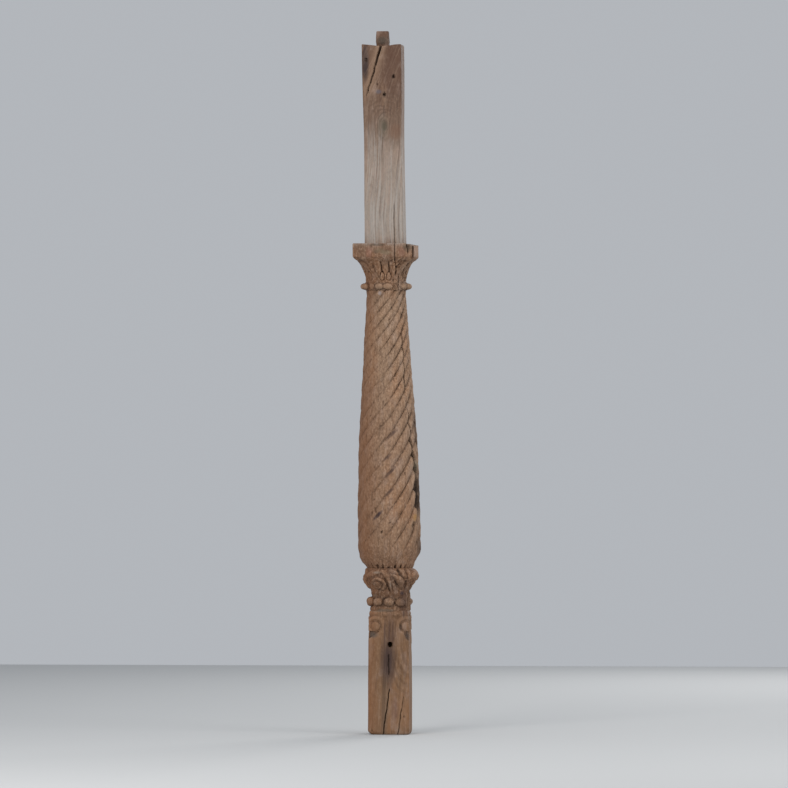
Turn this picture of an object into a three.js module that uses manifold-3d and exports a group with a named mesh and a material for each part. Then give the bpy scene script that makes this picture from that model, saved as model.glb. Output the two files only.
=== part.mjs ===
// An old carved teak post, made from one square timber: a square foot with scrolls cut into the top of
// each face, a row of beads, a band of scrolls and leaves, a swelling shaft of twelve twisted strands
// that rises from a ring of small petals, a ring of pearls, a leafy capital, a square abacus, a plain
// square upper shaft and a tenon. The timber has drifted a little to the left above the foot.
// Millimetres, +Z up. The origin is the middle of the foot's underside, and the front face looks at -Y.
import * as THREE from "three";
import { mergeVertices } from "three/addons/utils/BufferGeometryUtils.js";
import Module from "manifold-3d";

const wasm = await Module();
wasm.setup();

const DEGREE = Math.PI / 180;
const FRONT = -90 * DEGREE;

// Whole post
const HEIGHT = 2000;
const LEAN = 21; // how far the top stands to the left of the foot
const LEAN_START = 410; // the waist above the beads, where the lean begins
const BITE = 5; // how far joined forms run into each other
const PATTERN_TURN = 4; // degrees that the round parts' patterns are turned to the right of the front

// Square foot
const FOOT_TOP = 352;
const FOOT_HALF = 59;
const FOOT_TOP_HALF = 57.5;
const FOOT_ARRIS = 2.5; // the worn bevel along each corner
const FOOT_CHIP = 8; // the broken lower ends of the corners
const SOLE_HALF = 54.5; // the flat underside, whose edges are worn

// Scrolls on each face of the foot: an eye in a coil, whose stem rises beside the middle channel
const SCROLL_Z = 308;
const SCROLL_OFFSET = 43;
const SCROLL_SHIFT = 5; // the pair of scrolls sits to the right of each face's middle
const EYE_RADIUS = 14.5;
const EYE_GROOVE = 3;
const COIL_RADIUS = 28;
const SCROLL_DEPTH = 3.5;
const CHANNEL_HALF = 8;
const CHANNEL_LOW = 262;
const ARC_STEPS = 3;
const SCROLL_CUTS = [
  // The groove round the eye, the hollow under it and the groove over the coil
  { inner: EYE_RADIUS, outer: EYE_RADIUS + EYE_GROOVE, left: [-60, 160], right: [90, 240] },
  { inner: EYE_RADIUS, outer: COIL_RADIUS, left: [190, 260], right: [-80, -10] },
  { inner: COIL_RADIUS, outer: COIL_RADIUS + EYE_GROOVE, left: [-10, 140], right: [40, 190] },
];

// Old peg hole in the front face of the foot
const PEG_RADIUS = 7;
const PEG_DEPTH = 55;
const PEG_X = 4.5;
const PEG_Z = 254;

// Row of round beads
const BEAD_COUNT = 10;
const BEAD_RADIUS = 15;
const BEAD_CIRCLE = 52;
const BEAD_Z = 377.5;
const BEAD_DETAIL = [8, 4];
const NECK_RADIUS = 52;
const NECK_SIDES = 16;
const LOST_BEAD = 2; // counted from the front towards the right
const SPLINTERS = [
  // The raw wood that stands where the lost bead was, turned from its middle in degrees
  { turn: -9, depth: 12, width: 9, top: 396 },
  { turn: 0, depth: 16, width: 13, top: 410 },
  { turn: 10, depth: 14, width: 11, top: 402 },
];

// Band of scrolls and leaves
const BAND_LOW = 400;
const BAND_TOP = 480;
const BAND_COLUMNS = 20;
const BAND_GROUND = [
  [BAND_LOW, 54],
  [414, 54],
  [426, 63],
  [442, 72],
  [458, 73],
  [BAND_TOP, 65],
];
const BAND_UNITS = 3; // a scroll, its stem and a leaf make one unit
const COIL_TURN = -30; // degrees from the unit's middle to the scroll's eye
const COIL_HEIGHT = 430;
const COIL_RING = 12;
const COIL_THICKNESS = 6;
const COIL_CIRCLE = 66.5;
const COIL_DETAIL = [5, 10];
const LOBE_DETAIL = [6, 4];
const BAND_LOBES = [
  // The scroll's eye, and the stem that runs over it and down beside it
  { size: [9, 6.5, 6.5], turn: COIL_TURN, circle: 70, z: COIL_HEIGHT, tilt: 0 },
  { size: [9, 20, 7], turn: -24, circle: 69, z: 458, tilt: -14 },
  { size: [10, 6, 28], turn: -1, circle: 66, z: 438, tilt: 16 },
  // The big curling leaf, and the small lobes over it
  { size: [13, 13, 21], turn: 26, circle: 66, z: 440, tilt: 28 },
  { size: [10, 9, 14], turn: 10, circle: 68, z: 460, tilt: 20 },
  { size: [10, 10, 12], turn: 32, circle: 68, z: 463, tilt: -10 },
  // The leaf that leads on to the next scroll
  { size: [12, 13, 22], turn: 57, circle: 66, z: 447, tilt: -35 },
];

// Twisted shaft and the petals under it
const PETAL_COUNT = 24;
const PETAL_LOW = 474;
const PETAL_TOP = 520;
const PETAL_DEPTH = 5;
const PETAL_HEIGHTS = [PETAL_LOW, 486, 503];
const PETAL_TURN = -103; // degrees from the front to the first gap, near the foot of a groove of the strands
const STRAND_COUNT = 12;
const STRAND_COLUMNS = 4; // columns of the surface across one strand
const STRAND_DEPTH = 5;
const STRAND_DEPTH_SWING = 1.5; // deeper by this on the right side, and shallower on the worn left side
const STRAND_ROUNDNESS = 2.5; // the power of the fall from a strand's crest to the groove
const STRAND_PITCH = 0.853; // how far a strand runs round the shaft for each length that it climbs
const STRAND_SKEW = 16; // degrees by which the strands crowd on the right side and open on the left
const STRAND_CREST_Z = 661; // height where a crest crosses the view from the front
const TWIST_SUM_STEPS = 40; // parts into which the climb is cut to add up its turn
const SKEW_ROUNDS = 12; // repeats that settle a skewed turn
const LOWER_STEP_SHARE = 1.22; // lower steps are taller by this much, so that all steps turn alike
const SHAFT_ALLOWANCE = 1.2; // the flats between two rings lie inside the round by about this much
const SHAFT_TOP = 1272;
const SHAFT_STEPS = 23;
const SHAFT_OUTLINE = [
  [PETAL_LOW, 66],
  [484, 71],
  [497, 77.5],
  [509, 84],
  [PETAL_TOP, 88],
  [554, 90],
  [639, 89.5],
  [753, 86.5],
  [838, 83.5],
  [951, 75.7],
  [1065, 68],
  [1150, 62.8],
  [1235, 57],
  [SHAFT_TOP, 56.5],
];

// The long open check down the right side of the shaft
const CHECK_STATIONS = [
  // height, degrees from the front, half width at the mouth, depth
  [612, 71, 2.5, 7],
  [635, 72.5, 10, 18],
  [690, 73, 15, 25],
  [740, 70, 11, 26],
  [790, 63.5, 6, 20],
  [845, 57, 3, 12],
  [930, 50.5, 2.5, 10],
  [1150, 49, 2, 7],
];

// Ring of pearls under the capital
const PEARL_COUNT = 16;
const PEARL_Z = 1273;
const PEARL_CIRCLE = 63;
const PEARL_SIZE = [11.5, 13, 10]; // half sizes outwards, along the ring and upwards
const PEARL_DETAIL = [5, 4];
const PEARL_SHIFT = 0.2; // how far the row starts from the front, in steps
const LOST_PEARL = 1; // counted from the front towards the right
const RING_RADIUS = 62;
const RING_HEIGHT = 16;
const RING_SIDES = 20;

// Capital
const CAPITAL_LOW = 1268;
const TONGUE_COUNT = 18;
const TONGUE_COLUMNS = 4;
const TONGUE_GROOVE = 3; // the column that is a groove, of each tongue's columns
const TONGUE_DEPTH = 3.5;
const TONGUE_FADE = 18; // the height over which the grooves run out, above and below
const CORNER_REACH = 1.385; // a square's corner, a little rounded, over its half width
const CAPITAL_OUTLINE = [
  // height, half width, how square it is
  [CAPITAL_LOW, 57, 0],
  [1306, 60, 0.05],
  [1320, 65, 0.2],
  [1333, 70.5, 0.48],
  [1343, 77, 0.75],
  [1350, 83.5, 0.92],
  [1356, 87, 1],
];

// Abacus
const ABACUS_LOW = 1354;
const ABACUS_TOP = 1395;
const ABACUS_HALF = 87.5;
const ABACUS_ARRIS = 3;
const CORNER_CHIP = { down: 10, side: 120, fall: 16, nod: 10 }; // the right corner of the front

// Upper shaft and tenon
const UPPER_LOW_HALF = 55.5;
const UPPER_MID_HALF = 54;
const UPPER_TOP_HALF = 56.5;
const UPPER_ARRIS = 3;
const UPPER_MID = 1660;
const UPPER_TOP = 1900; // where it is widest
const SHOULDER = 1961;
const TENON_SIDE = 38;
const TENON_TAPER = 1.5; // how much narrower each side of its top is
const TENON_ARRIS = 2;

// Cracks in the front face, each with its two ends as [x, height, half width]
const SPLIT_DEPTH = 45;
const SPLIT = [[2, SHOULDER + BITE, 3.4], [-45, 1817, 1.6]];
const FOOT_CRACK_DEPTH = 28;
const FOOT_CRACKS = [
  [[5, 130, 0.8], [-16, -BITE, 2]],
  [[43, 100, 0.8], [27, -BITE, 2]],
];

function leanAt(z) {
  return (-LEAN * Math.max(0, z - LEAN_START)) / (HEIGHT - LEAN_START);
}

// A smooth curve through rows of [height, value, ...], read at a height.
function smoothAt(rows, z, column = 1) {
  let i = 0;
  while (i < rows.length - 2 && z > rows[i + 1][0]) i += 1;
  const slope = (k) => {
    const low = rows[Math.max(0, k - 1)];
    const high = rows[Math.min(rows.length - 1, k + 1)];
    return (high[column] - low[column]) / (high[0] - low[0]);
  };
  const [a, b] = [rows[i], rows[i + 1]];
  const span = b[0] - a[0];
  const t = THREE.MathUtils.clamp((z - a[0]) / span, 0, 1);
  const t2 = t * t;
  const t3 = t2 * t;
  return (
    a[column] * (2 * t3 - 3 * t2 + 1) +
    slope(i) * span * (t3 - 2 * t2 + t) +
    b[column] * (3 * t2 - 2 * t3) +
    slope(i + 1) * span * (t3 - t2)
  );
}

// A closed surface through rings with the same number of points, closed by a fan at each end.
function loft(rings) {
  const count = rings[0].length;
  const points = rings.flat();
  const indices = [];
  for (let r = 0; r < rings.length - 1; r += 1) {
    for (let i = 0; i < count; i += 1) {
      const j = (i + 1) % count;
      const [a, b] = [r * count + i, r * count + j];
      const [c, d] = [a + count, b + count];
      if (!points[a].equals(points[b])) indices.push(a, b, d);
      if (!points[c].equals(points[d])) indices.push(a, d, c);
    }
  }
  const last = (rings.length - 1) * count;
  for (const [start, order] of [[0, -1], [last, 1]]) {
    const ring = points.slice(start, start + count);
    const middle = ring.reduce((sum, p) => sum.add(p), new THREE.Vector3()).divideScalar(count);
    const centre = points.push(middle) - 1;
    for (let i = 0; i < count; i += 1) {
      const [a, b] = [start + i, start + ((i + 1) % count)];
      if (points[a].equals(points[b])) continue;
      indices.push(...(order > 0 ? [a, b, centre] : [b, a, centre]));
    }
  }
  const geometry = new THREE.BufferGeometry().setFromPoints(points);
  geometry.setIndex(indices);
  return geometry;
}

function solidOf(geometry) {
  const bare = geometry.clone();
  bare.deleteAttribute("normal");
  bare.deleteAttribute("uv");
  const merged = mergeVertices(bare, 1e-3);
  return new wasm.Manifold(
    new wasm.Mesh({
      numProp: 3,
      vertProperties: merged.getAttribute("position").array,
      triVerts: new Uint32Array(merged.index.array),
    }),
  );
}

function geometryOf(solid) {
  const mesh = solid.getMesh();
  const geometry = new THREE.BufferGeometry();
  geometry.setAttribute("position", new THREE.BufferAttribute(mesh.vertProperties, 3));
  geometry.setIndex(new THREE.BufferAttribute(mesh.triVerts, 1));
  return geometry;
}

// A ring of points at one height, whose angle and distance from the leaning axis are functions of its place.
function freeRing(z, count, angleAt, radiusAt) {
  const ring = [];
  for (let i = 0; i < count; i += 1) {
    const angle = angleAt(i);
    const radius = radiusAt(i, angle);
    ring.push(new THREE.Vector3(leanAt(z) + radius * Math.cos(angle), radius * Math.sin(angle), z));
  }
  return ring;
}

// A ring of points at even angles.
function roundRing(z, count, start, radiusAt) {
  return freeRing(z, count, (i) => start + (i / count) * 2 * Math.PI, radiusAt);
}

// A square ring with bevelled corners.
function squareRing(z, half, bevel) {
  const inner = half - bevel;
  const corners = [
    [half, -inner],
    [half, inner],
    [inner, half],
    [-inner, half],
    [-half, inner],
    [-half, -inner],
    [-inner, -half],
    [inner, -half],
  ];
  return corners.map(([x, y]) => new THREE.Vector3(x + leanAt(z), y, z));
}

// A form in the plane of a face of the foot, given as (across, up), cut inwards by a depth.
function faceCutter(shape, depth, quarter) {
  const overhang = 3;
  const geometry = new THREE.ExtrudeGeometry(shape, {
    depth: depth + overhang,
    bevelEnabled: false,
    curveSegments: ARC_STEPS,
  });
  geometry.translate(0, 0, -depth);
  geometry.rotateX(90 * DEGREE);
  geometry.translate(0, -FOOT_TOP_HALF, 0);
  geometry.rotateZ(quarter * 90 * DEGREE);
  return solidOf(geometry);
}

function arcBand(x, y, inner, outer, from, to) {
  const shape = new THREE.Shape();
  shape.absarc(x, y, outer, from * DEGREE, to * DEGREE, false);
  shape.absarc(x, y, inner, to * DEGREE, from * DEGREE, true);
  return shape;
}

// The cuts of the scroll on one side: each has its inner and outer radius and its angles.
function scrollCuts(side, quarter) {
  return SCROLL_CUTS.map(({ inner, outer, left, right }) => {
    const span = side < 0 ? left : right;
    const shape = arcBand(SCROLL_SHIFT + side * SCROLL_OFFSET, SCROLL_Z, inner, outer, ...span);
    return faceCutter(shape, SCROLL_DEPTH, quarter);
  });
}

function channelCut(quarter) {
  const top = SCROLL_Z + COIL_RADIUS;
  const left = SCROLL_SHIFT - CHANNEL_HALF;
  const right = SCROLL_SHIFT + CHANNEL_HALF;
  const shape = new THREE.Shape();
  shape.moveTo(SCROLL_SHIFT, CHANNEL_LOW);
  shape.lineTo(right, SCROLL_Z);
  shape.lineTo(right, top);
  shape.lineTo(left, top);
  shape.lineTo(left, SCROLL_Z);
  return faceCutter(shape, SCROLL_DEPTH, quarter);
}

function footBlock() {
  const foot = loft([
    squareRing(0, SOLE_HALF, 0),
    squareRing(FOOT_ARRIS, FOOT_HALF, FOOT_CHIP),
    squareRing(2 * FOOT_CHIP, FOOT_HALF, FOOT_ARRIS),
    squareRing(CHANNEL_LOW, FOOT_TOP_HALF, FOOT_ARRIS),
    squareRing(FOOT_TOP - FOOT_ARRIS, FOOT_TOP_HALF, FOOT_ARRIS),
    squareRing(FOOT_TOP, FOOT_TOP_HALF - FOOT_ARRIS, FOOT_ARRIS),
  ]);
  let solid = solidOf(foot);
  for (let quarter = 0; quarter < 4; quarter += 1) {
    const cuts = [...scrollCuts(-1, quarter), ...scrollCuts(1, quarter), channelCut(quarter)];
    for (const cut of cuts) solid = solid.subtract(cut);
  }
  return solid;
}

// Angle of the n-th of a number of equal steps, counted from the front towards the right.
function stepAngle(n, count) {
  return FRONT + PATTERN_TURN * DEGREE + (n / count) * 2 * Math.PI;
}

// Places a form, made at the origin and facing +X, on a circle round the leaning axis.
function onCircle(geometry, angle, circle, z) {
  geometry.translate(circle, 0, 0);
  geometry.rotateZ(angle);
  geometry.translate(leanAt(z), 0, z);
  return solidOf(geometry);
}

function ball(radii, angle, circle, z, detail) {
  const geometry = new THREE.SphereGeometry(1, ...detail);
  geometry.rotateX(90 * DEGREE);
  geometry.scale(...radii);
  return onCircle(geometry, angle, circle, z);
}

function beadRow() {
  const height = BAND_LOW - FOOT_TOP + 2 * BITE;
  const column = new THREE.CylinderGeometry(NECK_RADIUS, NECK_RADIUS, height, NECK_SIDES);
  column.rotateX(90 * DEGREE);
  column.translate(0, 0, (BAND_LOW + FOOT_TOP) / 2);
  let solid = solidOf(column);
  const size = [BEAD_RADIUS, BEAD_RADIUS, BEAD_RADIUS];
  for (let n = 0; n < BEAD_COUNT; n += 1) {
    const angle = stepAngle(n, BEAD_COUNT);
    if (n !== LOST_BEAD) solid = solid.add(ball(size, angle, BEAD_CIRCLE, BEAD_Z, BEAD_DETAIL));
  }
  return solid.add(rawStub());
}

function rawStub() {
  const solids = SPLINTERS.map(({ turn, depth, width, top }) => {
    const height = top - FOOT_TOP + BITE;
    const splinter = new THREE.BoxGeometry(depth, width, height);
    splinter.translate(NECK_RADIUS - BITE / 2, 0, top - height / 2);
    splinter.rotateZ(stepAngle(LOST_BEAD, BEAD_COUNT) + turn * DEGREE);
    return solidOf(splinter);
  });
  return solids.reduce((whole, splinter) => whole.add(splinter));
}

// The band's ground, with a coiled scroll and leaves in each unit.
function leafBand() {
  const rings = BAND_GROUND.map(([z, radius]) => roundRing(z, BAND_COLUMNS, FRONT, () => radius));
  let solid = solidOf(loft(rings));
  const unit = 360 / BAND_UNITS;
  for (let n = 0; n < BAND_UNITS; n += 1) {
    const middle = FRONT + (PATTERN_TURN + n * unit) * DEGREE;
    solid = solid.add(coil(middle));
    for (const form of BAND_LOBES) solid = solid.add(lobe(form, middle));
  }
  return solid;
}

// The ring of a scroll round its eye.
function coil(middle) {
  const geometry = new THREE.TorusGeometry(COIL_RING, COIL_THICKNESS, ...COIL_DETAIL);
  geometry.rotateY(90 * DEGREE);
  return onCircle(geometry, middle + COIL_TURN * DEGREE, COIL_CIRCLE, COIL_HEIGHT);
}

// A rounded lobe, tilted in its own plane.
function lobe({ size, turn, circle, z, tilt }, middle) {
  const geometry = new THREE.SphereGeometry(1, ...LOBE_DETAIL);
  geometry.rotateX(90 * DEGREE);
  geometry.scale(...size);
  geometry.rotateX(tilt * DEGREE);
  return onCircle(geometry, middle + turn * DEGREE, circle, z);
}

// How far the surface falls from a strand's crest, across the strand from 0 to 1, at an angle of the shaft.
function strandFall(across, angle) {
  const depth = STRAND_DEPTH + STRAND_DEPTH_SWING * Math.cos(angle);
  return depth * Math.abs(2 * across - 1) ** STRAND_ROUNDNESS;
}

// The turn in degrees that a strand has made at a height. Its slope is the same where the shaft is narrow.
function twistAt(z) {
  const step = (z - STRAND_CREST_Z) / TWIST_SUM_STEPS;
  let turn = 0;
  for (let i = 0; i < TWIST_SUM_STEPS; i += 1) {
    turn += (STRAND_PITCH * step) / smoothAt(SHAFT_OUTLINE, STRAND_CREST_Z + (i + 0.5) * step);
  }
  return turn / DEGREE;
}

// The angle of a strand's line that would lie at an even turn: a share of the skew moves it.
function skewedAngle(turn, share) {
  let moved = turn;
  for (let i = 0; i < SKEW_ROUNDS; i += 1) {
    moved = turn + share * STRAND_SKEW * Math.cos(moved * DEGREE);
  }
  return FRONT + moved * DEGREE;
}

function petalRings(count) {
  const perPetal = count / PETAL_COUNT;
  return PETAL_HEIGHTS.map((z) => {
    const gap = PETAL_DEPTH * Math.min(1, (PETAL_TOP - z) / (PETAL_TOP - PETAL_HEIGHTS[1]));
    const share = (z - PETAL_LOW) / (PETAL_TOP - PETAL_LOW);
    const angleAt = (i) => skewedAngle(PETAL_TURN + (i / count) * 360, share);
    return freeRing(z, count, angleAt, (i) => smoothAt(SHAFT_OUTLINE, z) - (i % perPetal === 0 ? gap : 0));
  });
}

function strandRings(count) {
  const firstGroove = PATTERN_TURN - STRAND_SKEW - 180 / STRAND_COUNT;
  const rings = [];
  for (let step = 0; step <= SHAFT_STEPS; step += 1) {
    const share = step / SHAFT_STEPS;
    const climb = LOWER_STEP_SHARE * share - (LOWER_STEP_SHARE - 1) * share ** 2;
    const z = PETAL_TOP + (SHAFT_TOP - PETAL_TOP) * climb;
    // The grooves deepen over the first few rings.
    const grow = Math.min(1, (step + 1) / 3);
    const angleAt = (i) => skewedAngle(firstGroove + twistAt(z) + (i / count) * 360, 1);
    const radiusAt = (i, angle) => {
      const fall = strandFall((i % STRAND_COLUMNS) / STRAND_COLUMNS, angle);
      return smoothAt(SHAFT_OUTLINE, z) + SHAFT_ALLOWANCE * grow - fall * grow;
    };
    rings.push(freeRing(z, count, angleAt, radiusAt));
  }
  return rings;
}

function twistedShaft() {
  const count = STRAND_COUNT * STRAND_COLUMNS;
  return solidOf(loft([...petalRings(count), ...strandRings(count)]));
}

// The open check: a wedge whose edge lies deep in the wood and whose mouth is outside the surface.
function sideCheck() {
  const rings = CHECK_STATIONS.map(([z, turn, halfWidth, depth]) => {
    const radius = smoothAt(SHAFT_OUTLINE, z);
    const angle = FRONT + turn * DEGREE;
    const out = new THREE.Vector3(Math.cos(angle), Math.sin(angle), 0);
    const along = new THREE.Vector3(-out.y, out.x, 0);
    const at = (distance, across) =>
      new THREE.Vector3(leanAt(z), 0, z).addScaledVector(out, distance).addScaledVector(along, across);
    return [at(radius - depth, 0), at(radius + BITE, -halfWidth), at(radius + BITE, halfWidth)];
  });
  return solidOf(loft(rings));
}

function pearlRing() {
  const core = new THREE.CylinderGeometry(RING_RADIUS, RING_RADIUS, RING_HEIGHT, RING_SIDES);
  core.rotateX(90 * DEGREE);
  core.translate(leanAt(PEARL_Z), 0, PEARL_Z);
  let solid = solidOf(core);
  for (let n = 0; n < PEARL_COUNT; n += 1) {
    const angle = stepAngle(n + PEARL_SHIFT, PEARL_COUNT);
    if (n !== LOST_PEARL) solid = solid.add(ball(PEARL_SIZE, angle, PEARL_CIRCLE, PEARL_Z, PEARL_DETAIL));
  }
  return solid;
}

// Distance from the axis to a square of half width 1.
function squareReach(angle) {
  const reach = 1 / Math.max(Math.abs(Math.cos(angle)), Math.abs(Math.sin(angle)));
  return Math.min(reach, CORNER_REACH);
}

function capital() {
  const count = TONGUE_COUNT * TONGUE_COLUMNS;
  const rings = CAPITAL_OUTLINE.map(([z, half, square]) => {
    const fade = Math.min(ABACUS_LOW - z, z - CAPITAL_LOW) / TONGUE_FADE;
    const cut = TONGUE_DEPTH * THREE.MathUtils.clamp(fade, 0, 1);
    const radiusAt = (i, angle) => {
      const reach = THREE.MathUtils.lerp(1, squareReach(angle), square);
      return half * reach - (i % TONGUE_COLUMNS === TONGUE_GROOVE ? cut : 0);
    };
    return roundRing(z, count, FRONT, radiusAt);
  });
  return solidOf(loft(rings));
}

// A square block with its edges taken off.
function softBlock(low, top, lowHalf, topHalf, arris) {
  return [
    squareRing(low, lowHalf - arris / 2, arris),
    squareRing(low + arris / 2, lowHalf, arris),
    squareRing(top - arris / 2, topHalf, arris),
    squareRing(top, topHalf - arris / 2, arris),
  ];
}

// A slanting block that takes off the top of the abacus's worn corner.
function cornerChip() {
  const { down, side, fall, nod } = CORNER_CHIP;
  const chip = new THREE.BoxGeometry(side, side, side);
  chip.translate(0, 0, side / 2);
  chip.rotateY(fall * DEGREE);
  chip.rotateX(nod * DEGREE);
  chip.translate(leanAt(ABACUS_TOP) + ABACUS_HALF, -ABACUS_HALF, ABACUS_TOP - down);
  return solidOf(chip);
}

function abacus() {
  const block = softBlock(ABACUS_LOW, ABACUS_TOP, ABACUS_HALF, ABACUS_HALF, ABACUS_ARRIS);
  return solidOf(loft(block)).subtract(cornerChip());
}

function upperShaft() {
  const rings = [
    squareRing(ABACUS_TOP - BITE, UPPER_LOW_HALF, UPPER_ARRIS),
    squareRing(UPPER_MID, UPPER_MID_HALF, UPPER_ARRIS),
    squareRing(UPPER_TOP, UPPER_TOP_HALF, UPPER_ARRIS),
    squareRing(SHOULDER - UPPER_ARRIS / 2, UPPER_TOP_HALF, UPPER_ARRIS),
    squareRing(SHOULDER, UPPER_TOP_HALF - UPPER_ARRIS / 2, UPPER_ARRIS),
  ];
  return solidOf(loft(rings));
}

function tenon() {
  const half = TENON_SIDE / 2;
  return solidOf(loft(softBlock(SHOULDER - BITE, HEIGHT, half, half - TENON_TAPER, TENON_ARRIS)));
}

function pegHole() {
  const hole = new THREE.CylinderGeometry(PEG_RADIUS, PEG_RADIUS, PEG_DEPTH + BITE, 16);
  hole.translate(PEG_X, -FOOT_HALF + (PEG_DEPTH - BITE) / 2, PEG_Z);
  return solidOf(hole);
}

// A crack: a thin wedge from a front face inwards, between an upper and a lower end.
function crack([upper, lower], face, depth) {
  const ring = ([x, z, half]) =>
    [
      [x, -face + depth],
      [x - half, -face - BITE],
      [x + half, -face - BITE],
    ].map(([px, py]) => new THREE.Vector3(px + leanAt(z), py, z));
  return solidOf(loft([ring(lower), ring(upper)]));
}

function cracks() {
  const footCracks = FOOT_CRACKS.map((ends) => crack(ends, FOOT_HALF, FOOT_CRACK_DEPTH));
  return [crack(SPLIT, UPPER_TOP_HALF, SPLIT_DEPTH), ...footCracks];
}

function carvedPost() {
  const forms = [
    footBlock(),
    beadRow(),
    leafBand(),
    twistedShaft(),
    pearlRing(),
    capital(),
    abacus(),
    upperShaft(),
    tenon(),
  ];
  let solid = forms.reduce((whole, form) => whole.add(form));
  for (const cut of [pegHole(), sideCheck(), ...cracks()]) solid = solid.subtract(cut);
  return solid;
}

const weatheredTeak = new THREE.MeshStandardMaterial({ color: 0x8a6a50, roughness: 0.82, metalness: 0 });

const post = new THREE.Mesh(geometryOf(carvedPost()), weatheredTeak);
post.name = "carved_post";

const group = new THREE.Group();
group.add(post);

export default group;
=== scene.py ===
# The carved teak post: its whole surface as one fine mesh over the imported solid, in weathered bare wood.
# The surface is a radius round the leaning axis, as a function of the turn from the front and the height.
# Lengths are in millimetres until the mesh is made, and turns are in degrees from the front to the right.
# The material's heights are in metres, unless it says otherwise.
import math

import bpy
import numpy as np
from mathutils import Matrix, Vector


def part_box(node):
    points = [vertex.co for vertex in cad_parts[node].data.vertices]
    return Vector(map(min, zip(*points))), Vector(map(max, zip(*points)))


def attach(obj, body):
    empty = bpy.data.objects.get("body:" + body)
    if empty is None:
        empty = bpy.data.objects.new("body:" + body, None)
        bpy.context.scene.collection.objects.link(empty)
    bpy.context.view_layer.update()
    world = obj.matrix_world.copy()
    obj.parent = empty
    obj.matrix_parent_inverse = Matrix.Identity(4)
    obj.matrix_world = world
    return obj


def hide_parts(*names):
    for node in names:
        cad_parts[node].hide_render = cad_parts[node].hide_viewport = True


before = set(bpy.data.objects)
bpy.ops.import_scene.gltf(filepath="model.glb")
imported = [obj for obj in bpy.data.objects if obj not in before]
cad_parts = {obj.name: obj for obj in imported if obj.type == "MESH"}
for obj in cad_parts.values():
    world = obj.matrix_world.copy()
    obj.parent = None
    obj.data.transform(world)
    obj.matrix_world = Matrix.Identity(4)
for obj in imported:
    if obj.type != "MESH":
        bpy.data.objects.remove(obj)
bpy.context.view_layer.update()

NODE = "carved_post"
MM = 0.001

# Whole post
BOX_LOW, BOX_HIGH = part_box(NODE)
HEIGHT = BOX_HIGH[2] / MM
LEAN = 21.0
LEAN_START = 410.0
PATTERN_TURN = 4.0
TRIANGLES = 192000

# Foot
FOOT_TOP = 352.0
FOOT_HALF = 58.9
FOOT_TOP_HALF = 57.5
SCROLL_Z = 308.0
SCROLL_OFFSET = 44.3
SCROLL_SHIFT = 5.4
EYE_RADIUS = 13.2
COIL_INNER = 18.6
COIL_OUTER = 28.0
STEM_INNER = 14.5
EYE_GROOVE = 3.0
HOLLOW_DEPTH = 4.6
GROUND_DEPTH = 2.9
REED_HEIGHT = 2.3
BUD_HEIGHT = 2.7
BROKEN_EDGE = 8.0
FOOT_OUTLINE = [(0, 54.8), (2.5, 57.8), (12, FOOT_HALF), (262, FOOT_TOP_HALF), (FOOT_TOP, FOOT_TOP_HALF)]
# Holes of the front: place, radius, depth. The first is the peg hole.
FOOT_PITS = [((4.5, 256), 7.6, 44), ((45, 51), 2.2, 3), ((-48, 12), 2.2, 3)]
# Cracks: points of (across, height), half widths, depth, seed
FOOT_CRACKS = [
    ([(1, 168), (0, 231)], (1.4, 2.3), 6, 1.3),
    ([(-16, 0), (-9, 50), (3, 130)], (1.5, 1.1, 0.8), 24, 0.4),
    ([(27, 0), (35, 55), (43, 108)], (1.3, 1.0, 0.7), 20, 2.1)]
FOOT_BACK_CRACKS = [([(-8, 0), (-2, 90), (6, 210)], (1.3, 1.0, 0.7), 14, 3.3)]

# Beads, counted from the front to the right: one is lost, and one stands further out
BEAD_COUNT = 10
BEAD_RADIUS = 15.0
BEAD_CIRCLE = 52.0
BEAD_Z = 377.5
BEAD_TURN = 0.5
LOST_BEAD = 2
FAR_BEAD = 8
FAR_BEAD_SHIFT = 4.0
BEAD_TOP = 402.0
NECK_OUTLINE = [(352, 57), (358, 56.6), (364, 54.5), (371, 49.5), (394, 51.5), (402, 54.5)]
# The raw wood in place of the lost bead, and its grooves: turn from its middle, share of the depth, width
RAW_HALF_TURN = 32.0
RAW_RADIUS = 58.0
RAW_TOP = 405.0
RAW_GROOVES = [(-28, 1, 3.2), (-19, 0.6, 2), (-9, 0.8, 2.6), (1, 1, 3.2), (12, 0.7, 2.6)]

# Leaf band
BAND_TOP = 473.0
BAND_UNIT = 120.0
BAND_MEAN_RADIUS = 72.0
BAND_GROUND = [
    (402, 54.5), (412, 55), (423, 60), (434, 68), (446, 72.3), (457, 72), (466, 69), (473, 66)]

# Petals and twisted shaft
PETAL_COUNT = 24
PETAL_TURN = 2.0
PETAL_TOP = 520.0
PETAL_NOTCH = 6.5
PETAL_FLUTE = 1.9
STRAND_COUNT = 12
STRAND_DEPTH = 4.5
STRAND_DEPTH_SWING = 2.3
STRAND_PITCH = 0.853
STRAND_SKEW = 16.0
STRAND_CREST_Z = 661.0
SHAFT_TOP = 1262.0
SHAFT_OUTLINE = [
    (474, 65.5), (484, 71), (497, 77.5), (509, 84), (520, 87.8), (554, 89.3), (639, 89), (753, 86.3),
    (838, 83.3), (951, 75.7), (1065, 68), (1150, 62.8), (1235, 57), (1272, 56.5)]

# Open checks down the right side: height, turn, half width, depth
LONG_CHECK = [
    (612, 71, 0, 0), (626, 72, 8, 12), (650, 73, 14.5, 22), (690, 73, 16.5, 26), (735, 70.5, 12, 26),
    (770, 66.5, 7.5, 24), (800, 62, 5.5, 18), (845, 57, 3, 12), (930, 50.5, 2.0, 7), (1150, 49, 1.3, 5),
    (1185, 48, 0, 0)]
SHORT_CHECK = [(790, 84, 0, 0), (820, 83, 3.5, 6), (880, 81, 3.5, 6), (925, 79, 2.5, 4), (955, 78, 0, 0)]

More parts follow.
